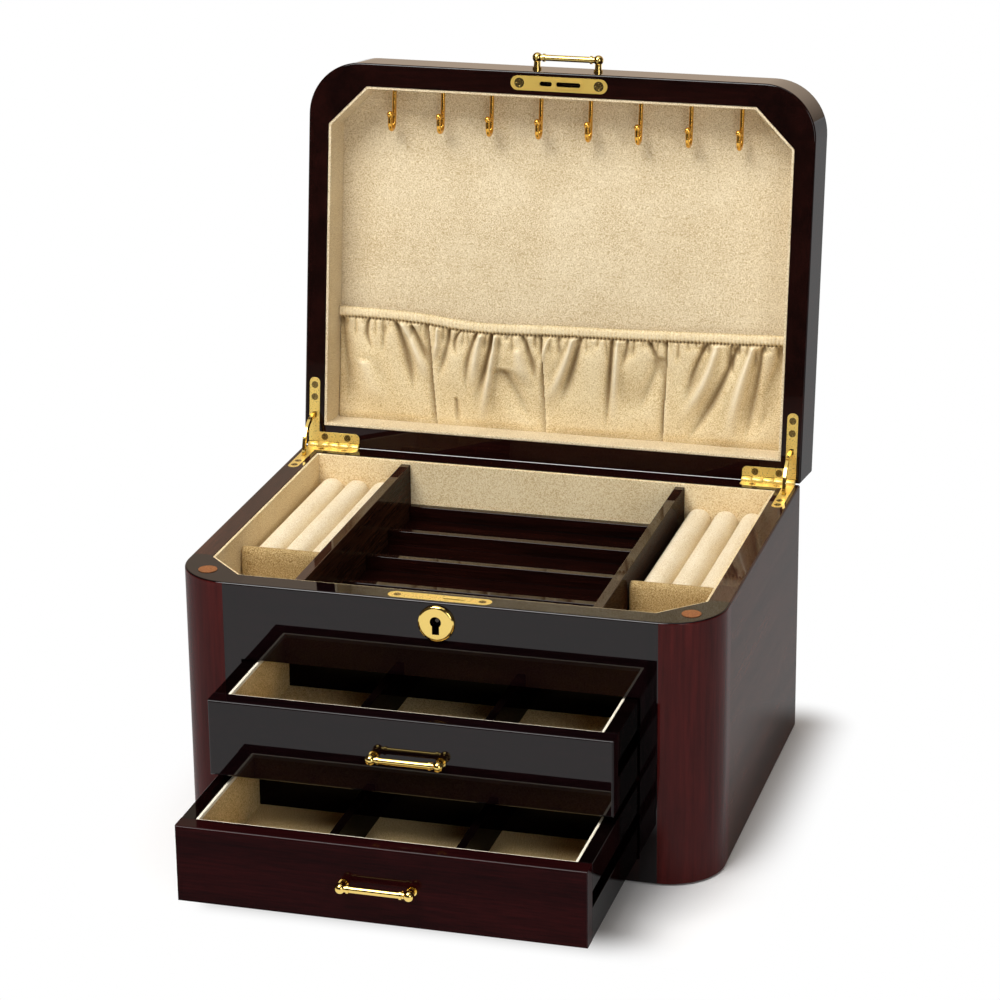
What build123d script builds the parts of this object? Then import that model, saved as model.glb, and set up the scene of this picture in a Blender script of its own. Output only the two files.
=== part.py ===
from build123d import *
import os
from math import asin, cos, degrees, radians, sin, sqrt

os.makedirs("parts", exist_ok=True)

# Lacquered jewellery box: a case with a lined top tray and two drawers, a hinged lid and a lock.
# Millimetres, X to the right, Y to the rear, Z up, origin on the table under the middle of the case.
# Every piece is drawn with the box shut, and is then moved to where it stands in the open box.

# Case
case_width = 320
case_depth = 243
case_height = 160
corner_radius = 33
edge_round = 1.2
side_wall = 12.7
front_wall = 14.2
rear_wall = 12.9
well_chamfer = 24.3
post_face = 9.5
post_tail = 2
base_felt_thickness = 1.2
base_felt_inset = 12
base_thickness = 8
bottom_rail_height = 14
front_rail_height = 46
shelf_thickness = 3
shelf_setback = 1
cheek_thickness = 5
overrun = 1
snap = 0.001

# Velvet linings
lining_thickness = 1.8
lining_drop = 0.4

# Drawers, shut; the two pulls are how far they stand open
drawer_clearance = 1.2
drawer_side_gap = 0.8
drawer_rear_gap = 0.5
drawer_front_thickness = 11
drawer_side_thickness = 8
drawer_back_thickness = 8
drawer_bottom_thickness = 4
drawer_bottom_recess = 4.5
runner_height = 9
runner_depth = 4.6
runner_gap = 0.3
groove_depth = 5
groove_lift = 1.25
divider_thickness = 5
divider_drop = 11
divider_joint = 0.1
front_row_depth = 97.2
column_count = 3
upper_pull = 58.9
lower_pull = 116.6

# Top tray
tray_floor_thickness = 5
partition_thickness = 6
partition_drop = 2.5
channel_floor_thickness = 3.5
slat_height = 9
slat_thickness = 5
slat_count = 5
front_channel_share = 0.6
front_tray_depth = 61.5
cross_divider_thickness = 7
cross_divider_drop = 8
cross_divider_round = 2.5
roll_width = 16.4
roll_pitch_gap = 0.3
roll_height = 26.5
roll_side_gap = 2.2
roll_end_gap = 0.3
roll_end_taper = 5
roll_count = 3
roll_foot_share = 0.8
roll_shoulder_share = 0.92
roll_waist_share = 0.4
roll_shoulder_height_share = 0.81
roll_end_swell_share = 0.84
roll_crown_swell_share = 1.02
bumper_diameter = 11
bumper_height = 0.35

# Lid
lid_open_degrees = 97.7
lid_rim_gap = 0.5
lid_recess = 27
lid_panel_thickness = 4
lid_top_thickness = 10
lid_top_round = 3

# Quadrant hinges; their axis lies on the rear face, level with the middle of the rim gap
leaf_margin = 3
leaf_inset = 2.9
leaf_rear_margin = 4.2
leaf_length = 33.5
leaf_arm = 43.5
leaf_thickness = 1.6
leaf_clearance = 0.1
leaf_end_share = 0.45
knuckle_radius = 2.3
knuckle_gap = 0.2
knuckle_count = 5
barrel_clearance = 0.3
hinge_pin_radius = 1.1
pin_clearance = 0.05
leaf_screw_margin = 4.8
leaf_screw_pitch = 7.7
rear_screw_margin = 8
rear_screw_pitch = 15
stay_radius = 19.5
stay_width = 3
stay_thickness = 1.8
stay_clearance = 0.4
stay_lead_degrees = 12
stop_pin_degrees = 9
stop_pin_radius = 0.8
stop_pin_length = 4

# Screws
screw_head_radius = 2.2
strike_screw_head_radius = 3.1
screw_head_height = 1.2
screw_shank_radius = 1
screw_shank_length = 8
screw_slot_width = 0.7
screw_slot_depth = 0.7

# Lock
plate_length = 61
plate_margin = 2.6
plate_thickness = 1.5
plate_screw_margin = 5.5
lock_left_screw_gap = 7
lock_right_screw_gap = 3.5
lock_height = 24.5
lock_skin = 2.1
lock_wall = 1
hook_pivot_room = 3.6
hook_pivot_drop = 6
hook_radius = 9.4
hook_width = 1.6
hook_thickness = 1.6
hook_gap = 0.25
hook_hub_radius = 3
hook_arm_width = 3
hook_arm_reach = 11.5
hook_arc_degrees = 95
hook_slot_share = 0.8
bolt_slot_length = 12.7
bolt_slot_width = 2.2
pivot_pin_radius = 1.4
drill_pin_radius = 1.1
drill_pin_setback = 1
strike_thickness = 1.2
strike_slot_length = 15.4
strike_slot_width = 2.9
strike_hole_length = 7.9
strike_slot_gap = 2.5
strike_catch = 2.3
strike_rim_height = 0.3
strike_rim_width = 1.5
strike_pocket_depth = 8
strike_pocket_left_inset = 3
strike_pocket_right_reach = 1.5
strike_pocket_width = 5
escutcheon_diameter = 21.6
escutcheon_thickness = 2.4
escutcheon_round = 1.8
escutcheon_drop = 12.5
keyhole_radius = 3.3
keyhole_lift = 1.2
keyhole_slot_width = 4.2
keyhole_slot_drop = 6.2

# Bar handles
handle_post_offset = 19.4
handle_standoff = 7
handle_bar_radius = 1.9
handle_post_radius = 2.1
handle_ball_radius = 3.1
handle_collar_radius = 2.5
handle_collar_width = 1.4
handle_collar_offset = 4.4
handle_flange_radius = 2.8
handle_flange_height = 1.2
handle_stud_radius = 1.5
handle_stud_length = 8

# Necklace hooks
necklace_hook_count = 8
necklace_hook_margin = 12.4
necklace_hook_depth = 19.6
necklace_shank = 21.5
necklace_bend_radius = 4.25
necklace_return = 5.5
necklace_wire_radius = 1.35
necklace_ball_radius = 2.1
necklace_flange_radius = 3.1
necklace_flange_height = 1.1

# Gathered lid pocket
pocket_height = 70
pocket_hem = 8.5
pocket_cloth = 1.6
pocket_side_gap = 0.3
pocket_seam_width = 2.4
pocket_foot_gap = 4
pocket_mouth_gap = 8.5
pocket_hem_gap = 7.5
pocket_foot_fold = 0.9
pocket_mouth_fold = 2.2
pocket_hem_fold = 1
pocket_folds_per_bay = 4
pocket_seam_shares = (-1, -0.57, -0.07, 0.47, 1)

# Places that follow from the sizes above
half_width = case_width / 2
front = -case_depth / 2
rear = case_depth / 2
half_well = half_width - side_wall
well_front = front + front_wall
well_rear = rear - rear_wall
half_lined = half_well - lining_thickness
lined_front = well_front + lining_thickness
lined_rear = well_rear - lining_thickness
half_opening = half_width - corner_radius - post_face
post_end = front + max(corner_radius, front_wall + well_chamfer) + post_tail
wall_height = case_height - base_felt_thickness
base_top = base_felt_thickness + base_thickness
bottom_rail_top = base_felt_thickness + bottom_rail_height
rail_foot = case_height - front_rail_height
drawer_bay = rail_foot - bottom_rail_top - shelf_thickness
drawer_height = drawer_bay / 2 - 2 * drawer_clearance
lower_foot = bottom_rail_top + drawer_clearance
shelf_foot = lower_foot + drawer_height + drawer_clearance
upper_foot = shelf_foot + shelf_thickness + drawer_clearance
cheek_front = well_front + max(0, half_opening + cheek_thickness - half_well + well_chamfer)
tray_top = rail_foot + tray_floor_thickness
felt_top = tray_top + lining_thickness
roll_pitch = roll_width + roll_pitch_gap
side_tray_width = roll_count * roll_pitch + 2 * roll_side_gap
partition_outer = half_lined - side_tray_width
partition_inner = partition_outer - partition_thickness
cross_divider_front = lined_front + front_tray_depth
cross_divider_rear = cross_divider_front + cross_divider_thickness
lid_rim = case_height + lid_rim_gap
lid_recess_top = lid_rim + lid_recess
lid_frame_top = lid_recess_top + lid_panel_thickness
lid_height = lid_recess + lid_panel_thickness + lid_top_thickness
hinge_y = rear
hinge_z = case_height + lid_rim_gap / 2
leaf_outer = half_width - leaf_margin
leaf_inner = half_well + leaf_inset
leaf_middle = (leaf_inner + leaf_outer) / 2
leaf_rear = hinge_y - knuckle_radius - barrel_clearance
leaf_rear_front = well_rear + leaf_rear_margin
leaf_tip = hinge_y - leaf_arm
leaf_start = leaf_outer - leaf_length
knuckle_pitch = leaf_length / knuckle_count
stay_inner = stay_radius - stay_width / 2
stay_outer = stay_radius + stay_width / 2
stay_reach_degrees = lid_open_degrees / 2 + stay_lead_degrees
stay_pocket_depth = stay_outer * sin(radians(stay_reach_degrees)) + stay_clearance
stay_pocket_near = stay_inner * cos(radians(stay_reach_degrees)) - stay_clearance
stay_pocket_width = stop_pin_length + 2 * stay_clearance
stay_slot_width = stay_thickness + 2 * stay_clearance
plate_y = (front + well_front) / 2
plate_width = front_wall - 2 * plate_margin
plate_foot = case_height - plate_thickness
plate_screw_offset = plate_length / 2 - plate_screw_margin
lock_left = plate_screw_offset - screw_shank_radius - lock_left_screw_gap
lock_right = plate_screw_offset - screw_shank_radius - lock_right_screw_gap
lock_foot = plate_foot - lock_height
lock_depth = front_wall - 2 * lock_skin
hook_pivot_offset = lock_right - lock_wall - hook_pivot_room
hook_pivot_z = case_height - hook_pivot_drop
hook_inner = hook_radius - hook_width / 2
hook_outer = hook_radius + hook_width / 2
hook_tip_room = hook_pivot_drop - plate_thickness - hook_gap
hook_start_degrees = 180 - degrees(asin(hook_tip_room / hook_outer))
bolt_slot_middle = hook_pivot_offset - hook_slot_share * hook_radius
strike_slot_end = hook_pivot_offset - strike_catch
strike_slot_middle = strike_slot_end - strike_slot_length / 2
strike_hole_end = strike_slot_end - strike_slot_length - strike_slot_gap
strike_hole_middle = strike_hole_end - strike_hole_length / 2
strike_pocket_left = lock_left - strike_pocket_left_inset
strike_pocket_right = lock_right + strike_pocket_right_reach
strike_rim_length = strike_slot_length + strike_slot_gap + strike_hole_length + 2 * strike_rim_width
strike_rim_middle = strike_slot_end + strike_rim_width - strike_rim_length / 2
strike_rim_outer_width = strike_slot_width + 2 * strike_rim_width
escutcheon_z = case_height - escutcheon_drop
keyhole_z = escutcheon_z + keyhole_lift

swung_open = Pos(0, hinge_y, hinge_z) * Rot(-lid_open_degrees, 0, 0) * Pos(0, -hinge_y, -hinge_z)
sides = {"left": -1, "right": 1}
hanging = (Align.CENTER, Align.CENTER, Align.MAX)
standing = (Align.CENTER, Align.CENTER, Align.MIN)


def write(builder, label, place=Location()):
    """Label a finished piece, move it to its place in the open box and write it."""
    builder.part.label = label
    piece = place * builder.part
    piece.label = label
    export_step(piece, f"parts/{label}.step")


def span(side, near, far):
    """X span between two distances from the middle, on the left (-1) or the right (1)."""
    return (near, far) if side > 0 else (-far, -near)


def slab(xs, ys, zs, mode=Mode.ADD):
    """Add or cut a block that fills three spans."""
    with Locations(((xs[0] + xs[1]) / 2, (ys[0] + ys[1]) / 2, (zs[0] + zs[1]) / 2)):
        Box(xs[1] - xs[0], ys[1] - ys[0], zs[1] - zs[0], mode=mode)


# Plans that the case and the lid share: the outer outline, the inside of the walls, the lined inside
with BuildSketch() as outer_plan:
    Rectangle(case_width, case_depth)
    fillet(outer_plan.vertices().group_by(Axis.Y)[0], radius=corner_radius)
    fillet(outer_plan.vertices().group_by(Axis.Y)[-1], radius=edge_round)

with BuildSketch() as well_plan:
    with BuildLine():
        Polyline(
            (-half_well, well_rear),
            (half_well, well_rear),
            (half_well, well_front + well_chamfer),
            (half_well - well_chamfer, well_front),
            (well_chamfer - half_well, well_front),
            (-half_well, well_front + well_chamfer),
            close=True,
        )
    make_face()

with BuildSketch() as lined_plan:
    add(well_plan.sketch)
    offset(amount=-lining_thickness, kind=Kind.INTERSECTION)


def wall_plan(height, xs, ys):
    """Sketch the stretch of the wall, seen from above, that lies inside two spans."""
    with BuildSketch(Plane.XY.offset(height)) as plan:
        add(outer_plan.sketch)
        add(well_plan.sketch, mode=Mode.SUBTRACT)
        with Locations(((xs[0] + xs[1]) / 2, (ys[0] + ys[1]) / 2)):
            Rectangle(xs[1] - xs[0], ys[1] - ys[0], mode=Mode.INTERSECT)
    return plan.sketch


def lining_plan(height):
    """Sketch the band of velvet that lines the walls."""
    with BuildSketch(Plane.XY.offset(height)) as plan:
        add(well_plan.sketch)
        add(lined_plan.sketch, mode=Mode.SUBTRACT)
    return plan.sketch


def round_rim(builder, height, radius):
    """Round the edge of a piece that follows the outer outline at one height."""
    outline = outer_plan.sketch.face().outer_wire()
    rim = [
        edge
        for edge in builder.edges()
        if abs((edge @ 0.5).Z - height) < snap
        and outline.distance_to(Vertex((edge @ 0.5).X, (edge @ 0.5).Y, 0)) < snap
    ]
    fillet(rim, radius=radius)


front_ys = (front - overrun, post_end)
side_ys = (post_end, rear + overrun)
rear_ys = (well_rear - overrun, rear + overrun)
opening_xs = (-half_opening, half_opening)
well_xs = (-half_well, half_well)


def corner_xs(side):
    """X span of one rounded front corner."""
    return span(side, half_opening, half_width + overrun)


def side_xs(side):
    """X span of one side wall."""
    return span(side, half_well, half_width + overrun)


# Screws: one countersunk blank cuts every seat, and the same blank with a cross recess is the screw
def screw_blank(head_radius):
    """Build a countersunk head on its shank."""
    with BuildPart() as blank:
        Cone(screw_shank_radius, head_radius, screw_head_height, align=hanging)
        with Locations((0, 0, -screw_head_height)):
            Cylinder(screw_shank_radius, screw_shank_length, align=hanging)
    return blank.part


def cross_screw(head_radius):
    """Build a screw with a cross recess in its head."""
    with BuildPart() as screw:
        add(screw_blank(head_radius))
        with PolarLocations(0, 2, angular_range=180):
            Box(
                2 * head_radius * cos(radians(45)),
                screw_slot_width,
                2 * screw_slot_depth,
                mode=Mode.SUBTRACT,
            )
    return screw.part


def leaf_screw_points(side):
    """Plan points of the four screws of one hinge leaf."""
    far = leaf_tip + leaf_screw_margin
    rear_row = (leaf_rear_front + leaf_rear) / 2
    first = leaf_start + rear_screw_margin
    return [
        (side * leaf_middle, far),
        (side * leaf_middle, far + leaf_screw_pitch),
        (side * first, rear_row),
        (side * (first + rear_screw_pitch), rear_row),
    ]


plate_screw_points = [(-plate_screw_offset, plate_y), (plate_screw_offset, plate_y)]
hinge_screw_points = [point for side in sides.values() for point in leaf_screw_points(side)]


def case_screw_places(points):
    """Places of screws driven down into the case rim."""
    return [Location((x, y, case_height)) for x, y in points]


def lid_screw_places(points):
    """Places of screws driven up into the lid rim."""
    return [Location((x, y, lid_rim), (180, 0, 0)) for x, y in points]


def cut_screws(places, head_radius=screw_head_radius):
    """Cut the seats of screws out of the piece being built."""
    with Locations(*places):
        add(screw_blank(head_radius), mode=Mode.SUBTRACT)


# Hinges
def leaf_plan(side, height, rear_edge, grow):
    """Sketch an L-shaped hinge leaf, grown by a clearance for its seat."""
    with BuildSketch(Plane.XY.offset(height)) as leaf:
        with BuildLine():
            Polyline(
                (side * leaf_start, rear_edge),
                (side * leaf_outer, rear_edge),
                (side * leaf_outer, leaf_tip),
                (side * leaf_inner, leaf_tip),
                (side * leaf_inner, leaf_rear_front),
                (side * leaf_start, leaf_rear_front),
                close=True,
            )
        make_face()
        arm_end = leaf.vertices().group_by(Axis.Y)[0]
        row_end = leaf.vertices().group_by(Axis.Y)[1].sort_by(Axis.X)[-1 if side < 0 else 0]
        fillet([*arm_end, row_end], radius=leaf_end_share * (leaf_outer - leaf_inner))
        if grow > 0:
            offset(amount=grow, kind=Kind.INTERSECTION)
    return leaf.sketch


def cut_hinge_seat(side, height, direction):
    """Cut the seat of a hinge leaf, the groove of its barrel and the pocket of its stay into a wall."""
    seat = leaf_plan(side, height, rear + overrun, leaf_clearance)
    extrude(seat, amount=direction * leaf_thickness, mode=Mode.SUBTRACT)
    with Locations((side * (leaf_start + leaf_outer) / 2, hinge_y, hinge_z)):
        Cylinder(
            knuckle_radius + barrel_clearance,
            leaf_length + 2 * leaf_clearance,
            rotation=(0, 90, 0),
            mode=Mode.SUBTRACT,
        )
    deep = sorted((height, height + direction * stay_pocket_depth))
    stay_xs = span(side, leaf_middle - stay_pocket_width / 2, leaf_middle + stay_pocket_width / 2)
    stay_ys = (hinge_y - stay_outer - stay_clearance, hinge_y - stay_pocket_near)
    slab(stay_xs, stay_ys, deep, Mode.SUBTRACT)


def hinge_leaf(side, height, direction, knuckles, places):
    """Build a hinge leaf with its share of the barrel, its stay slot and its screw seats."""
    with BuildPart() as leaf:
        extrude(leaf_plan(side, height, leaf_rear, 0), amount=direction * leaf_thickness)
        plate_zs = sorted((height, height + direction * leaf_thickness))
        for index in knuckles:
            start = leaf_start + index * knuckle_pitch + knuckle_gap / 2
            end = start + knuckle_pitch - knuckle_gap
            slab(span(side, start, end), (leaf_rear, hinge_y), plate_zs)
            with Locations((side * (start + end) / 2, hinge_y, hinge_z)):
                Cylinder(knuckle_radius, end - start, rotation=(0, 90, 0))
        with Locations((side * (leaf_start + leaf_outer) / 2, hinge_y, hinge_z)):
            Cylinder(
                hinge_pin_radius + pin_clearance,
                leaf_length + 2 * overrun,
                rotation=(0, 90, 0),
                mode=Mode.SUBTRACT,
            )
        slot_xs = span(side, leaf_middle - stay_slot_width / 2, leaf_middle + stay_slot_width / 2)
        slot_ys = (hinge_y - stay_outer - stay_clearance, hinge_y - stay_inner + stay_clearance)
        slab(slot_xs, slot_ys, (plate_zs[0] - overrun, plate_zs[1] + overrun), Mode.SUBTRACT)
        cut_screws(places)
    return leaf


def arc_plan(plane, radius, width, start_degrees, arc_degrees):
    """Sketch a stretch of a flat ring."""
    with BuildSketch(plane) as plan:
        with BuildLine():
            outer = CenterArc((0, 0), radius + width / 2, start_degrees, arc_degrees)
            inner = CenterArc((0, 0), radius - width / 2, start_degrees, arc_degrees)
            Line(outer @ 0, inner @ 0)
            Line(outer @ 1, inner @ 1)
        make_face()
    return plan.sketch


with BuildPart() as quadrant_stays:
    for side in sides.values():
        stay_plane = Plane(
            origin=(side * leaf_middle, hinge_y, hinge_z), x_dir=(0, -1, 0), z_dir=(-1, 0, 0)
        )
        stay_arc = lid_open_degrees + 2 * stay_lead_degrees
        stay_plan = arc_plan(stay_plane, stay_radius, stay_width, -stay_lead_degrees, stay_arc)
        extrude(stay_plan, amount=stay_thickness / 2, both=True)
        for angle in (-stop_pin_degrees, lid_open_degrees + stop_pin_degrees):
            pin_y = hinge_y - stay_radius * cos(radians(angle))
            pin_z = hinge_z + stay_radius * sin(radians(angle))
            with Locations((side * leaf_middle, pin_y, pin_z)):
                Cylinder(stop_pin_radius, stop_pin_length, rotation=(0, 90, 0))
write(quadrant_stays, "quadrant_stays")

with BuildPart() as hinge_pins:
    for side in sides.values():
        with Locations((side * (leaf_start + leaf_outer) / 2, hinge_y, hinge_z)):
            Cylinder(hinge_pin_radius, leaf_length, rotation=(0, 90, 0))
write(hinge_pins, "hinge_pins")

case_knuckles = range(0, knuckle_count, 2)
lid_knuckles = range(1, knuckle_count, 2)
for name, side in sides.items():
    points = leaf_screw_points(side)
    case_leaf = hinge_leaf(side, case_height, -1, case_knuckles, case_screw_places(points))
    write(case_leaf, f"{name}_hinge_case_leaf")
    lid_leaf = hinge_leaf(side, lid_rim, 1, lid_knuckles, lid_screw_places(points))
    write(lid_leaf, f"{name}_hinge_lid_leaf", swung_open)


# Case walls
def corner_post(side):
    """Build a front corner post, rounded outside and chamfered inside."""
    with BuildPart() as post:
        extrude(wall_plan(base_felt_thickness, corner_xs(side), front_ys), amount=wall_height)
        round_rim(post, case_height, edge_round)
    return post


def side_panel(side):
    """Build a side panel with the seat of its hinge leaf."""
    with BuildPart() as panel:
        extrude(wall_plan(base_felt_thickness, side_xs(side), side_ys), amount=wall_height)
        round_rim(panel, case_height, edge_round)
        cut_hinge_seat(side, case_height, -1)
        cut_screws(case_screw_places(leaf_screw_points(side)))
    return panel


for name, side in sides.items():
    write(corner_post(side), f"{name}_corner_post")
    write(side_panel(side), f"{name}_side_panel")

with BuildPart() as rear_panel:
    extrude(wall_plan(base_felt_thickness, well_xs, rear_ys), amount=wall_height)
    for side in sides.values():
        cut_hinge_seat(side, case_height, -1)
    cut_screws(case_screw_places(hinge_screw_points))
write(rear_panel, "rear_panel")

with BuildPart() as bottom_rail:
    extrude(wall_plan(base_felt_thickness, opening_xs, front_ys), amount=bottom_rail_height)
write(bottom_rail, "bottom_rail")

with BuildPart() as base_panel:
    with BuildSketch(Plane.XY.offset(base_felt_thickness)):
        add(well_plan.sketch)
    extrude(amount=base_thickness)
write(base_panel, "base_panel")

with BuildPart() as base_felt:
    felt_half = half_width - base_felt_inset
    felt_ys = (front + base_felt_inset, rear - base_felt_inset)
    slab((-felt_half, felt_half), felt_ys, (0, base_felt_thickness))
write(base_felt, "base_felt")

with BuildPart() as drawer_shelf:
    slab(opening_xs, (front + shelf_setback, well_rear), (shelf_foot, shelf_foot + shelf_thickness))
write(drawer_shelf, "drawer_shelf")

with BuildPart() as drawer_cheeks:
    for side in sides.values():
        cheek_xs = span(side, half_opening, half_opening + cheek_thickness)
        slab(cheek_xs, (cheek_front, well_rear), (base_top, rail_foot))
write(drawer_cheeks, "drawer_cheeks")

runner_lift = drawer_height / 2 + groove_lift
runner_front = max(cheek_front, front + drawer_front_thickness + drawer_clearance)
with BuildPart() as drawer_runners:
    for side in sides.values():
        for foot in (lower_foot, upper_foot):
            runner_xs = span(side, half_opening - runner_depth, half_opening)
            runner_foot = foot + runner_lift - runner_height / 2
            slab(runner_xs, (runner_front, well_rear), (runner_foot, runner_foot + runner_height))
write(drawer_runners, "drawer_runners")


# Lock
plate_plane = Plane.XY.offset(case_height)
lock_xs = (-lock_left, lock_right)
lock_ys = (plate_y - lock_depth / 2, plate_y + lock_depth / 2)
lock_room_xs = (lock_wall - lock_left, lock_right - lock_wall)
lock_room_ys = (lock_ys[0] + lock_wall, lock_ys[1] - lock_wall)
pivot_plane = Plane(origin=(hook_pivot_offset, plate_y, hook_pivot_z), x_dir=(1, 0, 0), z_dir=(0, -1, 0))


def keyhole_plan():
    """Sketch the keyhole on the front face of the case."""
    slot_foot = escutcheon_z - keyhole_slot_drop
    with BuildSketch(Plane.XZ.offset(-front)) as plan:
        with Locations((0, keyhole_z)):
            Circle(keyhole_radius)
        with Locations((0, slot_foot)):
            Rectangle(keyhole_slot_width, keyhole_z - slot_foot, align=(Align.CENTER, Align.MIN))
    return plan.sketch


with BuildPart() as front_rail:
    extrude(wall_plan(rail_foot, opening_xs, front_ys), amount=front_rail_height)
    round_rim(front_rail, case_height, edge_round)
    with BuildSketch(plate_plane):
        with Locations((0, plate_y)):
            SlotOverall(plate_length, plate_width)
    extrude(amount=-plate_thickness, mode=Mode.SUBTRACT)
    slab(lock_xs, lock_ys, (lock_foot, plate_foot), Mode.SUBTRACT)
    extrude(keyhole_plan(), amount=-front_wall / 2, mode=Mode.SUBTRACT)
    cut_screws(case_screw_places(plate_screw_points))
write(front_rail, "front_rail")

with BuildPart() as lock_case:
    slab(lock_xs, lock_ys, (lock_foot, plate_foot))
    slab(lock_room_xs, lock_room_ys, (lock_foot + lock_wall, plate_foot), Mode.SUBTRACT)
    extrude(keyhole_plan(), amount=-front_wall / 2, mode=Mode.SUBTRACT)
write(lock_case, "lock_case")

with BuildPart() as lock_face_plate:
    with BuildSketch(plate_plane):
        with Locations((0, plate_y)):
            SlotOverall(plate_length, plate_width)
        with Locations((bolt_slot_middle, plate_y)):
            SlotOverall(bolt_slot_length, bolt_slot_width, mode=Mode.SUBTRACT)
    extrude(amount=-plate_thickness)
    cut_screws(case_screw_places(plate_screw_points))
write(lock_face_plate, "lock_face_plate")

with BuildPart() as lock_pins:
    with BuildSketch(pivot_plane):
        Circle(pivot_pin_radius)
    extrude(amount=(lock_room_ys[1] - lock_room_ys[0]) / 2, both=True)
    with BuildSketch(Plane.XZ.offset(-front - drill_pin_setback)):
        with Locations((0, keyhole_z)):
            Circle(drill_pin_radius)
    extrude(amount=-(lock_room_ys[1] - front - drill_pin_setback))
write(lock_pins, "lock_pins")

with BuildPart() as hook_bolt:
    hook_plan = arc_plan(pivot_plane, hook_radius, hook_width, hook_start_degrees, hook_arc_degrees)
    extrude(hook_plan, amount=hook_thickness / 2, both=True)
    with BuildSketch(pivot_plane):
        Circle(hook_hub_radius)
        with Locations(Location((0, 0, 0), (0, 0, hook_start_degrees + hook_arc_degrees))):
            Rectangle(hook_arm_reach, hook_arm_width, align=(Align.MIN, Align.CENTER))
        Circle(pivot_pin_radius + pin_clearance, mode=Mode.SUBTRACT)
    extrude(amount=hook_thickness / 2, both=True)
write(hook_bolt, "hook_bolt")

with BuildPart() as keyhole_escutcheon:
    with BuildSketch(Plane.XZ.offset(-front)):
        with Locations((0, escutcheon_z)):
            Circle(escutcheon_diameter / 2)
    extrude(amount=escutcheon_thickness)
    fillet(keyhole_escutcheon.edges().group_by(Axis.Y)[0], radius=escutcheon_round)
    extrude(keyhole_plan(), amount=escutcheon_thickness, mode=Mode.SUBTRACT)
write(keyhole_escutcheon, "keyhole_escutcheon")

with BuildPart() as strike_plate:
    with BuildSketch(Plane.XY.offset(lid_rim)):
        with Locations((0, plate_y)):
            SlotOverall(plate_length, plate_width)
    extrude(amount=strike_thickness)
    with BuildSketch(Plane.XY.offset(lid_rim)):
        with Locations((strike_rim_middle, plate_y)):
            SlotOverall(strike_rim_length, strike_rim_outer_width)
    extrude(amount=-strike_rim_height)
    with BuildSketch(Plane.XY.offset(lid_rim - strike_rim_height)):
        with Locations((strike_slot_middle, plate_y)):
            SlotOverall(strike_slot_length, strike_slot_width)
        with Locations((strike_hole_middle, plate_y)):
            SlotOverall(strike_hole_length, strike_slot_width)
    extrude(amount=strike_rim_height + strike_thickness, mode=Mode.SUBTRACT)
    cut_screws(lid_screw_places(plate_screw_points), strike_screw_head_radius)
write(strike_plate, "strike_plate", swung_open)

with BuildPart() as case_screws:
    with Locations(*case_screw_places(hinge_screw_points + plate_screw_points)):
        add(cross_screw(screw_head_radius))
write(case_screws, "case_screws")

with BuildPart() as lid_screws:
    with Locations(*lid_screw_places(hinge_screw_points)):
        add(cross_screw(screw_head_radius))
    with Locations(*lid_screw_places(plate_screw_points)):
        add(cross_screw(strike_screw_head_radius))
write(lid_screws, "lid_screws", swung_open)


# Top tray
with BuildPart() as tray_floor:
    with BuildSketch(Plane.XY.offset(rail_foot)):
        add(well_plan.sketch)
    extrude(amount=tray_floor_thickness)
write(tray_floor, "tray_floor")

with BuildPart() as tray_wall_lining:
    extrude(lining_plan(tray_top), amount=case_height - lining_drop - tray_top)
write(tray_wall_lining, "tray_wall_lining")

with BuildPart() as tray_partitions:
    for side in sides.values():
        partition_zs = (tray_top, case_height - partition_drop)
        slab(span(side, partition_inner, partition_outer), (lined_front, lined_rear), partition_zs)
write(tray_partitions, "tray_partitions")

with BuildPart() as channel_floor:
    channel_xs = (-partition_inner, partition_inner)
    slab(channel_xs, (lined_front, lined_rear), (tray_top, tray_top + channel_floor_thickness))
write(channel_floor, "channel_floor")

slat_room = lined_rear - lined_front - slat_thickness
slat_pitch = slat_room / (slat_count - 1 + front_channel_share)
slat_foot = tray_top + channel_floor_thickness
with BuildPart() as channel_slats:
    for index in range(slat_count):
        slat_rear = lined_rear - index * slat_pitch
        slab(channel_xs, (slat_rear - slat_thickness, slat_rear), (slat_foot, slat_foot + slat_height))
write(channel_slats, "channel_slats")

with BuildPart() as tray_floor_felts:
    with BuildSketch(Plane.XY.offset(tray_top)):
        add(lined_plan.sketch)
        Rectangle(2 * partition_outer, case_depth, mode=Mode.SUBTRACT)
    extrude(amount=lining_thickness)
write(tray_floor_felts, "tray_floor_felts")

with BuildPart() as cross_dividers:
    for side in sides.values():
        divider_xs = span(side, partition_outer, half_lined)
        divider_zs = (felt_top, case_height - cross_divider_drop)
        slab(divider_xs, (cross_divider_front, cross_divider_rear), divider_zs)
    fillet(cross_dividers.edges().filter_by(Axis.X).group_by(Axis.Z)[-1], radius=cross_divider_round)
write(cross_dividers, "cross_dividers")


def roll_section(y, swell):
    """Sketch one cross section of a ring roll: flat foot, drawn-in sides and a round crown."""
    width = roll_width * min(1, swell)
    height = roll_height * swell
    foot = width / 2 * roll_foot_share
    shoulder = width / 2 * roll_shoulder_share
    shoulder_height = height * roll_shoulder_height_share
    waist_height = height * roll_waist_share
    with BuildSketch(Plane(origin=(0, y, felt_top), x_dir=(1, 0, 0), z_dir=(0, -1, 0))) as section:
        with BuildLine():
            Line((-foot, 0), (foot, 0))
            ThreePointArc((foot, 0), (width / 2, waist_height), (shoulder, shoulder_height))
            ThreePointArc((shoulder, shoulder_height), (0, height), (-shoulder, shoulder_height))
            ThreePointArc((-shoulder, shoulder_height), (-width / 2, waist_height), (-foot, 0))
        make_face()
    return section.sketch


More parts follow.
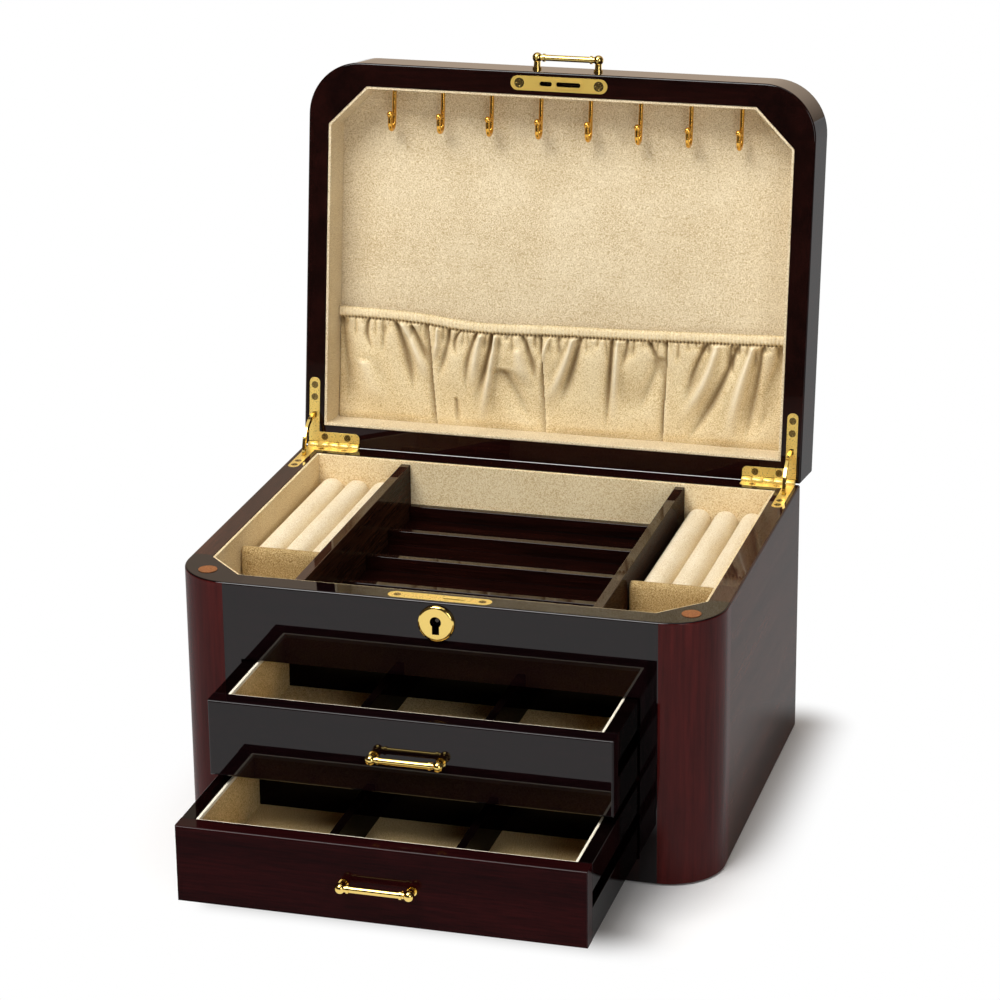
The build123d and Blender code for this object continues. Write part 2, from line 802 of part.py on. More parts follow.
roll_front = cross_divider_rear + roll_end_gap
roll_rear = lined_rear - roll_end_gap
roll_sections = [
    roll_section(roll_front, roll_end_swell_share),
    roll_section(roll_front + roll_end_taper, 1),
    roll_section((roll_front + roll_rear) / 2, roll_crown_swell_share),
    roll_section(roll_rear - roll_end_taper, 1),
    roll_section(roll_rear, roll_end_swell_share),
]
with BuildPart() as ring_roll:
    loft(roll_sections, ruled=True)

for name, side in sides.items():
    with BuildPart() as ring_rolls:
        with Locations((side * (half_lined + partition_outer) / 2, 0, 0)):
            with GridLocations(roll_pitch, 0, roll_count, 1):
                add(ring_roll.part)
    write(ring_rolls, f"{name}_ring_rolls")

diagonal = sqrt(1 / 2)
corner_middle = (half_width - corner_radius, front + corner_radius)
chamfer_reach = (half_well - well_chamfer - well_front - corner_middle[0] + corner_middle[1]) * diagonal
bumper_reach = (corner_radius + chamfer_reach) / 2 * diagonal
bumper_x = corner_middle[0] + bumper_reach
bumper_y = corner_middle[1] - bumper_reach
with BuildPart() as lid_bumpers:
    with Locations(*[(side * bumper_x, bumper_y, case_height) for side in sides.values()]):
        Cylinder(bumper_diameter / 2, bumper_height, align=standing)
write(lid_bumpers, "lid_bumpers")


# Bar handle, drawn on a face at Y 0 that looks to the front
with BuildPart() as bar_handle:
    with Locations((0, -handle_standoff, 0)):
        Cylinder(handle_bar_radius, 2 * handle_post_offset, rotation=(0, 90, 0))
    for side in sides.values():
        post_x = side * handle_post_offset
        with Locations((post_x, -handle_standoff / 2, 0)):
            Cylinder(handle_post_radius, handle_standoff, rotation=(90, 0, 0))
        with Locations((post_x, -handle_flange_height / 2, 0)):
            Cylinder(handle_flange_radius, handle_flange_height, rotation=(90, 0, 0))
        with Locations((post_x, handle_stud_length / 2, 0)):
            Cylinder(handle_stud_radius, handle_stud_length, rotation=(90, 0, 0))
        with Locations((post_x, -handle_standoff, 0)):
            Sphere(handle_ball_radius, rotation=(0, 0, 90 - 90 * side))
        with Locations((side * (handle_post_offset - handle_collar_offset), -handle_standoff, 0)):
            Cylinder(handle_collar_radius, handle_collar_width, rotation=(0, 90, 0))


def handle_at(height):
    """Build a handle on the front plane at one height."""
    with BuildPart() as handle:
        with Locations((0, front, height)):
            add(bar_handle.part)
    return handle


def cut_handle_studs(height):
    """Drill the holes of a handle's two studs from the front plane."""
    for side in sides.values():
        with Locations((side * handle_post_offset, front + handle_stud_length / 2, height)):
            Cylinder(handle_stud_radius, handle_stud_length, rotation=(90, 0, 0), mode=Mode.SUBTRACT)


# Lid
lid_handle_z = lid_rim + lid_height / 2


def lid_side_wall(side):
    """Build a lid side wall with its rounded front corner and the seat of its hinge leaf."""
    with BuildPart() as wall:
        extrude(wall_plan(lid_rim, corner_xs(side), front_ys), amount=lid_frame_top - lid_rim)
        extrude(wall_plan(lid_rim, side_xs(side), side_ys), amount=lid_frame_top - lid_rim)
        round_rim(wall, lid_rim, edge_round)
        cut_hinge_seat(side, lid_rim, 1)
        cut_screws(lid_screw_places(leaf_screw_points(side)))
    return wall


for name, side in sides.items():
    write(lid_side_wall(side), f"lid_{name}_wall", swung_open)

with BuildPart() as lid_rear_wall:
    extrude(wall_plan(lid_rim, well_xs, rear_ys), amount=lid_frame_top - lid_rim)
    for side in sides.values():
        cut_hinge_seat(side, lid_rim, 1)
    cut_screws(lid_screw_places(hinge_screw_points))
write(lid_rear_wall, "lid_rear_wall", swung_open)

with BuildPart() as lid_front_wall:
    extrude(wall_plan(lid_rim, opening_xs, front_ys), amount=lid_frame_top - lid_rim)
    round_rim(lid_front_wall, lid_rim, edge_round)
    with BuildSketch(Plane.XY.offset(lid_rim)):
        with Locations((0, plate_y)):
            SlotOverall(plate_length, plate_width)
    extrude(amount=strike_thickness, mode=Mode.SUBTRACT)
    pocket_ys = (plate_y - strike_pocket_width / 2, plate_y + strike_pocket_width / 2)
    pocket_zs = (lid_rim, lid_rim + strike_pocket_depth)
    slab((-strike_pocket_left, strike_pocket_right), pocket_ys, pocket_zs, Mode.SUBTRACT)
    cut_screws(lid_screw_places(plate_screw_points), strike_screw_head_radius)
    cut_handle_studs(lid_handle_z)
write(lid_front_wall, "lid_front_wall", swung_open)

with BuildPart() as lid_top:
    with BuildSketch(Plane.XY.offset(lid_frame_top)):
        add(outer_plan.sketch)
    extrude(amount=lid_top_thickness)
    round_rim(lid_top, lid_frame_top + lid_top_thickness, lid_top_round)
write(lid_top, "lid_top", swung_open)

with BuildPart() as lid_back_lining:
    with BuildSketch(Plane.XY.offset(lid_recess_top)):
        add(well_plan.sketch)
    extrude(amount=lid_panel_thickness)
write(lid_back_lining, "lid_back_lining", swung_open)

with BuildPart() as lid_wall_lining:
    extrude(lining_plan(lid_rim + lining_drop), amount=lid_recess - lining_drop)
write(lid_wall_lining, "lid_wall_lining", swung_open)

write(handle_at(lid_handle_z), "lid_handle", swung_open)

# Necklace hooks: a flange on the front wall lining, a straight shank, a bend and a ball end
shank_z = lid_rim + necklace_hook_depth
shank_end = lined_front + necklace_shank
with BuildPart() as necklace_hook:
    with BuildLine(Plane.YZ) as wire:
        Line((lined_front, shank_z), (shank_end, shank_z))
        bend_middle = (shank_end, shank_z - necklace_bend_radius)
        CenterArc(bend_middle, necklace_bend_radius, 90, -90)
        CenterArc(bend_middle, necklace_bend_radius, 0, -90)
        hook_tip = (shank_end - necklace_return, shank_z - 2 * necklace_bend_radius)
        Line((shank_end, shank_z - 2 * necklace_bend_radius), hook_tip)
    with BuildSketch(Plane(origin=(0, lined_front, shank_z), z_dir=(0, 1, 0))):
        Circle(necklace_wire_radius)
    sweep(path=wire.line)
    with Locations((0, hook_tip[0], hook_tip[1])):
        Sphere(necklace_ball_radius)
    with Locations((0, lined_front + necklace_flange_height / 2, shank_z)):
        Cylinder(necklace_flange_radius, necklace_flange_height, rotation=(90, 0, 0))

hook_row = 2 * (half_well - well_chamfer - necklace_hook_margin)
with BuildPart() as necklace_hooks:
    with GridLocations(hook_row / (necklace_hook_count - 1), 0, necklace_hook_count, 1):
        add(necklace_hook.part)
write(necklace_hooks, "necklace_hooks", swung_open)


def pocket_section(y, gap, fold):
    """Sketch one cross section of the pocket cloth: an arch from seam to seam, with folds in front."""
    half = half_lined - pocket_side_gap
    seams = [share * half for share in pocket_seam_shares]
    bays = list(zip(seams[:-1], seams[1:]))
    face = []
    for left, right in bays:
        for index in range(2 * pocket_folds_per_bay):
            along = index / (2 * pocket_folds_per_bay)
            arch = gap * (1 - (2 * along - 1) ** 2)
            bulge = fold * (index % 2)
            face.append((left + along * (right - left), lid_recess_top - pocket_cloth - arch - bulge))
    face.append((half, lid_recess_top - pocket_cloth))
    with BuildSketch(Plane.XZ.offset(-y)) as section:
        with BuildLine():
            for index in range(0, len(face) - 1, 2):
                ThreePointArc(*face[index : index + 3])
            Line((half, lid_recess_top - pocket_cloth), (half, lid_recess_top))
            corner = (half, lid_recess_top)
            for left, right in reversed(bays):
                arch_right = (right - pocket_seam_width / 2, lid_recess_top)
                arch_left = (left + pocket_seam_width / 2, lid_recess_top)
                Line(corner, arch_right)
                ThreePointArc(arch_right, ((left + right) / 2, lid_recess_top - gap), arch_left)
                corner = arch_left
            Line(corner, (-half, lid_recess_top))
            Line((-half, lid_recess_top), (-half, lid_recess_top - pocket_cloth))
        make_face()
    return section.sketch


pocket_sections = [
    pocket_section(lined_rear, pocket_foot_gap, pocket_foot_fold),
    pocket_section(lined_rear - pocket_height + pocket_hem, pocket_mouth_gap, pocket_mouth_fold),
    pocket_section(lined_rear - pocket_height, pocket_hem_gap, pocket_hem_fold),
]
with BuildPart() as lid_pocket:
    loft(pocket_sections, ruled=True)
write(lid_pocket, "lid_pocket", swung_open)


# Drawers
drawer_half = half_opening - drawer_side_gap
drawer_rear = well_rear - drawer_rear_gap
drawer_inner_half = drawer_half - drawer_side_thickness
drawer_inner_front = front + drawer_front_thickness
drawer_inner_rear = drawer_rear - drawer_back_thickness
drawer_floor = drawer_bottom_recess + drawer_bottom_thickness
drawer_velvet = drawer_floor + lining_thickness
divider_half = drawer_inner_half - lining_thickness
divider_ys = (drawer_inner_front + lining_thickness, drawer_inner_rear - lining_thickness)
column_width = (2 * divider_half - (column_count - 1) * divider_thickness) / column_count
cross_ys = (divider_ys[0] + front_row_depth, divider_ys[0] + front_row_depth + divider_thickness)


def drawer_front(foot):
    """Build a drawer front with rounded face edges and the holes of its handle."""
    with BuildPart() as panel:
        slab((-drawer_half, drawer_half), (front, drawer_inner_front), (foot, foot + drawer_height))
        fillet(panel.faces().sort_by(Axis.Y)[0].edges(), radius=edge_round)
        cut_handle_studs(foot + drawer_height / 2)
    return panel


def drawer_sides(foot):
    """Build both drawer sides, each with its runner groove."""
    groove_half = runner_height / 2 + runner_gap
    groove_zs = (foot + runner_lift - groove_half, foot + runner_lift + groove_half)
    with BuildPart() as walls:
        for side in sides.values():
            side_zs = (foot, foot + drawer_height)
            slab(span(side, drawer_inner_half, drawer_half), (drawer_inner_front, drawer_rear), side_zs)
            groove_xs = span(side, drawer_half - groove_depth, drawer_half + overrun)
            slab(groove_xs, (drawer_inner_front, drawer_rear + overrun), groove_zs, Mode.SUBTRACT)
    return walls


def drawer_back(foot):
    """Build a drawer back, which stands between the sides."""
    with BuildPart() as panel:
        back_xs = (-drawer_inner_half, drawer_inner_half)
        slab(back_xs, (drawer_inner_rear, drawer_rear), (foot, foot + drawer_height))
    return panel


def drawer_bottom(foot):
    """Build a drawer bottom, let in between the four walls."""
    with BuildPart() as panel:
        bottom_xs = (-drawer_inner_half, drawer_inner_half)
        bottom_zs = (foot + drawer_bottom_recess, foot + drawer_floor)
        slab(bottom_xs, (drawer_inner_front, drawer_inner_rear), bottom_zs)
    return panel


def drawer_lining(foot):
    """Build the velvet tray that lines a drawer's floor and walls."""
    with BuildPart() as lining:
        lining_xs = (-drawer_inner_half, drawer_inner_half)
        lining_top = foot + drawer_height - lining_drop
        slab(lining_xs, (drawer_inner_front, drawer_inner_rear), (foot + drawer_floor, lining_top))
        slab((-divider_half, divider_half), divider_ys, (foot + drawer_velvet, lining_top), Mode.SUBTRACT)
    return lining


def drawer_dividers(foot):
    """Build a drawer's dividers: one across, and one in each half of every column line."""
    divider_zs = (foot + drawer_velvet, foot + drawer_height - divider_drop)
    with BuildPart() as dividers:
        slab((-divider_half, divider_half), cross_ys, divider_zs)
        for index in range(1, column_count):
            start = index * (column_width + divider_thickness) - divider_half - divider_thickness
            column_xs = (start, start + divider_thickness)
            slab(column_xs, (divider_ys[0], cross_ys[0] - divider_joint), divider_zs)
            slab(column_xs, (cross_ys[1] + divider_joint, divider_ys[1]), divider_zs)
    return dividers


for name, foot, pull in (("upper", upper_foot, upper_pull), ("lower", lower_foot, lower_pull)):
    pulled_out = Pos(0, -pull, 0)
    write(drawer_front(foot), f"{name}_drawer_front", pulled_out)
    write(drawer_sides(foot), f"{name}_drawer_sides", pulled_out)
    write(drawer_back(foot), f"{name}_drawer_back", pulled_out)
    write(drawer_bottom(foot), f"{name}_drawer_bottom", pulled_out)
    write(drawer_lining(foot), f"{name}_drawer_lining", pulled_out)
    write(drawer_dividers(foot), f"{name}_drawer_dividers", pulled_out)
    write(handle_at(foot + drawer_height / 2), f"{name}_drawer_handle", pulled_out)
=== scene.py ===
"""Looks of a lacquered jewellery box with a lined top tray, two drawers, a hinged lid and a lock.

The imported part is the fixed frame: X to the right, Y to the rear, Z up, in metres. This file gives every
piece its finish, builds the soft pieces that stand for plain solids, and sets the stage and the camera.
"""

import logging
import math
from dataclasses import dataclass, field
from enum import Enum

import bmesh
import bpy
import numpy as np
from mathutils import Matrix, Vector


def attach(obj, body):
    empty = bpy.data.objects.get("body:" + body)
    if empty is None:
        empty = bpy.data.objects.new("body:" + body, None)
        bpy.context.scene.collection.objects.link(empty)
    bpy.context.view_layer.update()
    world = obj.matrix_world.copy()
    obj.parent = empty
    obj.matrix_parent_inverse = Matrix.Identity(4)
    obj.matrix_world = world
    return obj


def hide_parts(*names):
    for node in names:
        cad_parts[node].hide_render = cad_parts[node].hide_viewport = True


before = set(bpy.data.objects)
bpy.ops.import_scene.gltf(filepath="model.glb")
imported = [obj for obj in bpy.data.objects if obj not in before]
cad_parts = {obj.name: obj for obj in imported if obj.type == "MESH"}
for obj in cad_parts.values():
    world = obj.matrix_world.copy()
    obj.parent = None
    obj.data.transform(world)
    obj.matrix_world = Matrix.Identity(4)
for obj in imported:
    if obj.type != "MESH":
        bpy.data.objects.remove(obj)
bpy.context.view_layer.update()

Tree = bpy.types.NodeTree
Socket = bpy.types.NodeSocket

LOG = logging.getLogger("jewellery_box")
MM = 0.001
JOIN_DISTANCE = 0.005 * MM
FLAT_ANGLE = math.radians(0.5)
SHARP_ANGLE = math.radians(40)
EASED_STEPS = 2


def linear(hex_colour: str) -> tuple[float, float, float, float]:
    """Turn an sRGB hex colour into linear light.

    Args:
        hex_colour: Colour as "#RRGGBB".

    Returns:
        Linear red, green, blue and an alpha of 1.
    """
    parts = [int(hex_colour[i : i + 2], 16) / 255 for i in (1, 3, 5)]
    red, green, blue = (c / 12.92 if c <= 0.04045 else ((c + 0.055) / 1.055) ** 2.4 for c in parts)
    return red, green, blue, 1.0


def add_node(tree: Tree, kind: str, inputs: dict | None = None, **settings: object) -> bpy.types.Node:
    """Add a shader node with its settings, values and links.

    Args:
        tree: Tree that takes the node.
        kind: Type name of the node.
        inputs: Input name or index, to a value or to the output socket that feeds it.
        settings: Properties of the node itself.

    Returns:
        The new node.
    """
    made = tree.nodes.new(kind)
    for name, value in settings.items():
        setattr(made, name, value)
    for key, value in (inputs or {}).items():
        if isinstance(value, Socket):
            tree.links.new(value, made.inputs[key])
        else:
            made.inputs[key].default_value = value
    return made


class Grain(Enum):
    """Direction in which the wood fibres run, as the stretch of the grain pattern along X, Y and Z."""

    ACROSS = (0.06, 1.0, 1.0)
    DEEP = (1.0, 0.06, 1.0)
    UPRIGHT = (1.0, 1.0, 0.06)


@dataclass(frozen=True)
class Finish:
    """A surface finish that makes one material."""

    name: str

    def make(self) -> bpy.types.Material:
        """Make the material, or find it if it is already there.

        Returns:
            The material.
        """
        found = bpy.data.materials.get(self.name)
        if found:
            return found
        material = bpy.data.materials.new(self.name)
        material.use_nodes = True
        material.node_tree.nodes.clear()
        shader = self.shade(material.node_tree)
        add_node(material.node_tree, "ShaderNodeOutputMaterial", {"Surface": shader.outputs[0]})
        return material

    def shade(self, tree: Tree) -> bpy.types.Node:
        """Build the finish's shader in a tree and return its last node."""
        raise NotImplementedError


@dataclass(frozen=True)
class LacqueredMahogany(Finish):
    """Mahogany, stained near black and finished with a thick, hand-rubbed mirror gloss lacquer.

    The eye sees a very dark red brown with faint streaks of grain, and the room mirrored in the clear coat.
    """

    grain: Grain = Grain.ACROSS
    gloss: float = 0.85
    rim_gloss: float = 1.0
    side_gloss: float = 0.25
    dark: str = "#0A0303"
    light: str = "#200A08"
    fibre_mm: float = 1.4
    figure_mm: float = 20
    ripple_mm: float = 18
    ripple_depth_mm: float = 0.2
    streak_stops: tuple[float, float] = (0.12, 0.42)
    facing_span: tuple[float, float] = (0.3, 0.8)

    def shade(self, tree: Tree) -> bpy.types.Node:
        """Build stained grain under a clear coat.

        Args:
            tree: Tree that takes the nodes.

        Returns:
            The shader.
        """
        place = add_node(tree, "ShaderNodeTexCoord").outputs["Object"]
        inputs = {"Vector": place, "Scale": 1 / (self.ripple_mm * MM), "Detail": 1.0}
        ripple = add_node(tree, "ShaderNodeTexNoise", inputs).outputs["Fac"]
        inputs = {"Height": ripple, "Strength": 0.04, "Distance": self.ripple_depth_mm * MM}
        wave = add_node(tree, "ShaderNodeBump", inputs).outputs["Normal"]
        inputs = {
            "Base Color": self.stain(tree, place),
            "Roughness": 0.5,
            "Specular IOR Level": 0.0,
            "Coat Weight": self.polish(tree),
            "Coat IOR": 1.42,
            "Coat Roughness": 0.02,
            "Coat Normal": wave,
        }
        return add_node(tree, "ShaderNodeBsdfPrincipled", inputs)

    def polish(self, tree: Tree) -> Socket:
        """Build the weight of the clear coat: rims are rubbed the most, the left and right sides the least.

        Args:
            tree: Tree that takes the nodes.

        Returns:
            Socket with the weight.
        """
        facing = add_node(tree, "ShaderNodeNewGeometry").outputs["Normal"]
        ways = add_node(tree, "ShaderNodeSeparateXYZ", {0: facing}).outputs
        aside = add_node(tree, "ShaderNodeMath", {0: ways["X"]}, operation="ABSOLUTE").outputs[0]
        low, high = self.facing_span
        weight = self.gloss
        for way, most in ((aside, self.side_gloss), (ways["Z"], self.rim_gloss)):
            inputs = {"Value": way, "From Min": low, "From Max": high, "To Min": weight, "To Max": most}
            weight = add_node(tree, "ShaderNodeMapRange", inputs).outputs["Result"]
        return weight

    def stain(self, tree: Tree, place: Socket) -> Socket:
        """Build the colour of the stained wood and return its socket."""
        return self.streaks(tree, place, self.dark, self.light)

    def streaks(self, tree: Tree, place: Socket, dark: str, light: str) -> Socket:
        """Draw fibres and a broader figure along the grain.

        Args:
            tree: Tree that takes the nodes.
            place: Socket with the place on the piece.
            dark: Colour of the pores.
            light: Colour of the pale streaks.

        Returns:
            Socket with the colour.
        """
        grain = add_node(tree, "ShaderNodeMapping", {"Vector": place, "Scale": self.grain.value}).outputs[0]
        inputs = {"Vector": grain, "Scale": 1 / (self.fibre_mm * MM), "Detail": 4.0, "Roughness": 0.6}
        fibre = add_node(tree, "ShaderNodeTexNoise", inputs).outputs["Fac"]
        inputs = {"Vector": grain, "Scale": 1 / (self.figure_mm * MM), "Detail": 2.0, "Distortion": 0.6}
        figure = add_node(tree, "ShaderNodeTexNoise", inputs).outputs["Fac"]
        streak = add_node(tree, "ShaderNodeMath", {0: fibre, 1: figure}, operation="MULTIPLY").outputs[0]
        stain = add_node(tree, "ShaderNodeValToRGB", {"Fac": streak})
        for stop, position, colour in zip(stain.color_ramp.elements, self.streak_stops, (dark, light)):
            stop.position = position
            stop.color = linear(colour)
        return stain.outputs["Color"]


@dataclass(frozen=True)
class VeneeredPost(LacqueredMahogany):
    """The same lacquered wood with a bent veneer, wine red and upright, round the corner.

    The eye sees a straight upright line where the dark front ends and the warmer, curved corner begins.
    """

    veneer_dark: str = "#320D0C"
    veneer_light: str = "#4A1513"
    veneer_gloss: float = 0.3
    veneer_from_mm: float = 127.5
    upright_below: float = 0.6

    def polish(self, tree: Tree) -> Socket:
        """Build the weight of the clear coat, which is thinner on the veneer."""
        inputs = {"Factor": self.veneered(tree), "A": super().polish(tree), "B": self.veneer_gloss}
        return add_node(tree, "ShaderNodeMix", inputs).outputs["Result"]

    def stain(self, tree: Tree, place: Socket) -> Socket:
        """Build dark wood on the flat front and the rim, and red veneer beyond the line.

        Args:
            tree: Tree that takes the nodes.
            place: Socket with the place on the piece.

        Returns:
            Socket with the colour.
        """
        wood = self.streaks(tree, place, self.dark, self.light)
        veneer = self.streaks(tree, place, self.veneer_dark, self.veneer_light)
        inputs = {"Factor": self.veneered(tree), "A": wood, "B": veneer}
        return add_node(tree, "ShaderNodeMix", inputs, data_type="RGBA").outputs["Result"]

    def veneered(self, tree: Tree) -> Socket:
        """Build a mask that is 1 on the veneer: beyond the line, and on upright faces.

        Args:
            tree: Tree that takes the nodes.

        Returns:
            Socket with the mask.
        """
        place = add_node(tree, "ShaderNodeTexCoord").outputs["Object"]
        across = add_node(tree, "ShaderNodeSeparateXYZ", {0: place}).outputs["X"]
        aside = add_node(tree, "ShaderNodeMath", {0: across}, operation="ABSOLUTE").outputs[0]
        inputs = {0: aside, 1: self.veneer_from_mm * MM}
        curved = add_node(tree, "ShaderNodeMath", inputs, operation="GREATER_THAN").outputs[0]
        facing = add_node(tree, "ShaderNodeNewGeometry").outputs["Normal"]
        rise = add_node(tree, "ShaderNodeSeparateXYZ", {0: facing}).outputs["Z"]
        inputs = {0: rise, 1: self.upright_below}
        upright = add_node(tree, "ShaderNodeMath", inputs, operation="LESS_THAN").outputs[0]
        return add_node(tree, "ShaderNodeMath", {0: curved, 1: upright}, operation="MULTIPLY").outputs[0]


@dataclass(frozen=True)
class VelvetNap(Finish):
    """Short-pile beige velvet, woven, sheared and brushed.

    The eye sees a soft matt cloth with a speckle of pile tips, cloudy where the pile lies another way, and
    paler where the pile is seen along the edge. The speckle is drawn coarser than the pile, so as to show.
    """

    pale: str = "#F2E4C6"
    middle: str = "#DFCDA9"
    deep: str = "#B79E74"
    pile_mm: float = 0.65
    pile_depth_mm: float = 0.4
    cloud_mm: float = 30
    cloud_share: float = 0.12
    nap: float = 0.5
    sheen: str = "#FFF4DC"
    tone_stops: tuple[float, float, float] = (0.39, 0.5, 0.61)

    def shade(self, tree: Tree) -> bpy.types.Node:
        """Build a speckle of pile with a soft sheen.

        Args:
            tree: Tree that takes the nodes.

        Returns:
            The shader.
        """
        place = add_node(tree, "ShaderNodeTexCoord").outputs["Object"]
        inputs = {"Vector": place, "Scale": 1 / (self.pile_mm * MM), "Detail": 3.0, "Roughness": 0.7}
        pile = add_node(tree, "ShaderNodeTexNoise", inputs).outputs["Fac"]
        inputs = {"Height": pile, "Strength": self.nap, "Distance": self.pile_depth_mm * MM}
        nap = add_node(tree, "ShaderNodeBump", inputs).outputs["Normal"]
        inputs = {
            "Base Color": self.tone(tree, place, pile),
            "Roughness": 0.95,
            "Specular IOR Level": 0.05,
            "Sheen Weight": 0.2,
            "Sheen Roughness": 0.4,
            "Sheen Tint": linear(self.sheen),
            "Normal": nap,
        }
        return add_node(tree, "ShaderNodeBsdfPrincipled", inputs)

    def tone(self, tree: Tree, place: Socket, pile: Socket) -> Socket:
        """Build the colour of the pile.

        Args:
            tree: Tree that takes the nodes.
            place: Socket with the place on the piece.
            pile: Socket with the pattern of the pile's tips.

        Returns:
            Socket with the colour.
        """
        inputs = {"Vector": place, "Scale": 1 / (self.cloud_mm * MM), "Detail": 3.0, "Roughness": 0.55}
        cloud = add_node(tree, "ShaderNodeTexNoise", inputs).outputs["Fac"]
        inputs = {"Factor": self.cloud_share, "A": pile, "B": cloud}
        lay = add_node(tree, "ShaderNodeMix", inputs).outputs["Result"]
        tone = add_node(tree, "ShaderNodeValToRGB", {"Fac": lay})
        low, half, high = self.tone_stops
        stops = tone.color_ramp.elements
        stops[0].position = low
        stops[0].color = linear(self.deep)
        stops[1].position = high
        stops[1].color = linear(self.pale)
        stops.new(half).color = linear(self.middle)
        return tone.outputs["Color"]


@dataclass(frozen=True)
class EdgeHighlightVelvet(VelvetNap):
    """The same velvet glued over card, with a painted highlight along its top edge.

    The eye sees a deep-toned box with a thin, pale painted highlight round its rim.
    """

    # Colour of the painted highlight along the top edge.
    edge: str = "#FFF6E0"
    highlight_from_share: float = 0.94

    def tone(self, tree: Tree, place: Socket, pile: Socket) -> Socket:
        """Build the colour of the pile, with a painted highlight along the top edge.

        Args:
            tree: Tree that takes the nodes.
            place: Socket with the place on the piece.
            pile: Socket with the pattern of the pile's tips.

        Returns:
            Socket with the colour.
        """
        # Painted highlight: the top share of the piece's height gets the pale colour.
        share = add_node(tree, "ShaderNodeTexCoord").outputs["Generated"]
        height = add_node(tree, "ShaderNodeSeparateXYZ", {0: share}).outputs["Z"]
        inputs = {0: height, 1: self.highlight_from_share}
        rim = add_node(tree, "ShaderNodeMath", inputs, operation="GREATER_THAN").outputs[0]
        inputs = {"Factor": rim, "A": super().tone(tree, place, pile), "B": linear(self.edge)}
        return add_node(tree, "ShaderNodeMix", inputs, data_type="RGBA").outputs["Result"]


@dataclass(frozen=True)
class GatheredVelvet(VelvetNap):
    """The same velvet drawn up into folds.

    The eye sees a painted highlight on the crests and painted shade in the creases, read from marks on the
    mesh.
    """

    nap: float = 0.2
    # Colour of the painted highlight on crests.
    painted_crest_highlight: str = "#FBEED0"
    # Colour of the painted shade in creases and hollows.
    crease: str = "#6E522C"

    def tone(self, tree: Tree, place: Socket, pile: Socket) -> Socket:
        """Build the colour of the pile, with a painted highlight on crests and painted shade in creases.

        Args:
            tree: Tree that takes the nodes.
            place: Socket with the place on the piece.
            pile: Socket with the pattern of the pile's tips.

        Returns:
            Socket with the colour.
        """
        colour = super().tone(tree, place, pile)
        # Painted highlight on the crests and painted shade in the creases, from marks laid on the pocket
        # mesh.
        for name, tint in (("painted_crest_highlight", self.painted_crest_highlight), ("painted_hollow_shade", self.crease)):
            share = add_node(tree, "ShaderNodeAttribute", attribute_name=name).outputs["Fac"]
            inputs = {"Factor": share, "A": colour, "B": linear(tint)}
            colour = add_node(tree, "ShaderNodeMix", inputs, data_type="RGBA").outputs["Result"]
        return colour


@dataclass(frozen=True)
class PolishedMetal(Finish):
    """Cast, stamped or drawn metal, buffed on a wheel.

    The eye sees reflections in the metal's own colour, softened by fine buffing marks. Where the bare share
    is below 1, a film of old lacquer makes the metal paler and duller.
    """

    colour: str = "#F0D27C"
    roughness: float = 0.1
    buff_mm: float = 0.8
    dent_mm: float = 0.0
    bare: float = 1.0
    uneven: float = 0.4

    def shade(self, tree: Tree) -> bpy.types.Node:
        """Build a metal with a little uneven polish.

        Args:
            tree: Tree that takes the nodes.

        Returns:
            The shader.
        """
        place = add_node(tree, "ShaderNodeTexCoord").outputs["Object"]
        inputs = {"Vector": place, "Scale": 1 / (self.buff_mm * MM), "Detail": 3.0}
        buff = add_node(tree, "ShaderNodeTexNoise", inputs).outputs["Fac"]
        least, most = (self.roughness * (1 + way * self.uneven) for way in (-1, 1))
        polish = add_node(tree, "ShaderNodeMapRange", {"Value": buff, "To Min": least, "To Max": most})
        inputs = {"Height": buff, "Strength": 0.3, "Distance": self.dent_mm * MM}
        wave = add_node(tree, "ShaderNodeBump", inputs)
        inputs = {
            "Base Color": linear(self.colour),
            "Metallic": self.bare,
            "Roughness": polish.outputs["Result"],
            "Normal": wave.outputs["Normal"],
        }
        return add_node(tree, "ShaderNodeBsdfPrincipled", inputs)


@dataclass(frozen=True)
class MattMaterial(Finish):
    """A plain dull surface, such as dyed leather, pressed felt or bare stained wood.

    The eye sees a mottled colour with a grain of one size and no gloss.
    """

    dark: str = "#000000"
    light: str = "#FFFFFF"
    grain_mm: float = 1.0
    roughness: float = 0.8
    relief_mm: float = 0.1
    tone_stops: tuple[float, float] = (0.3, 0.7)

    def shade(self, tree: Tree) -> bpy.types.Node:
        """Build a mottled dull surface.

        Args:
            tree: Tree that takes the nodes.

        Returns:
            The shader.
        """
        place = add_node(tree, "ShaderNodeTexCoord").outputs["Object"]
        inputs = {"Vector": place, "Scale": 1 / (self.grain_mm * MM), "Detail": 3.0}
        grit = add_node(tree, "ShaderNodeTexNoise", inputs).outputs["Fac"]
        tone = add_node(tree, "ShaderNodeValToRGB", {"Fac": grit})
        for stop, position, colour in zip(tone.color_ramp.elements, self.tone_stops, (self.dark, self.light)):
            stop.position = position
            stop.color = linear(colour)
        inputs = {"Height": grit, "Strength": 0.4, "Distance": self.relief_mm * MM}
        relief = add_node(tree, "ShaderNodeBump", inputs)
        inputs = {
            "Base Color": tone.outputs["Color"],
            "Roughness": self.roughness,
            "Normal": relief.outputs["Normal"],
        }
        return add_node(tree, "ShaderNodeBsdfPrincipled", inputs)


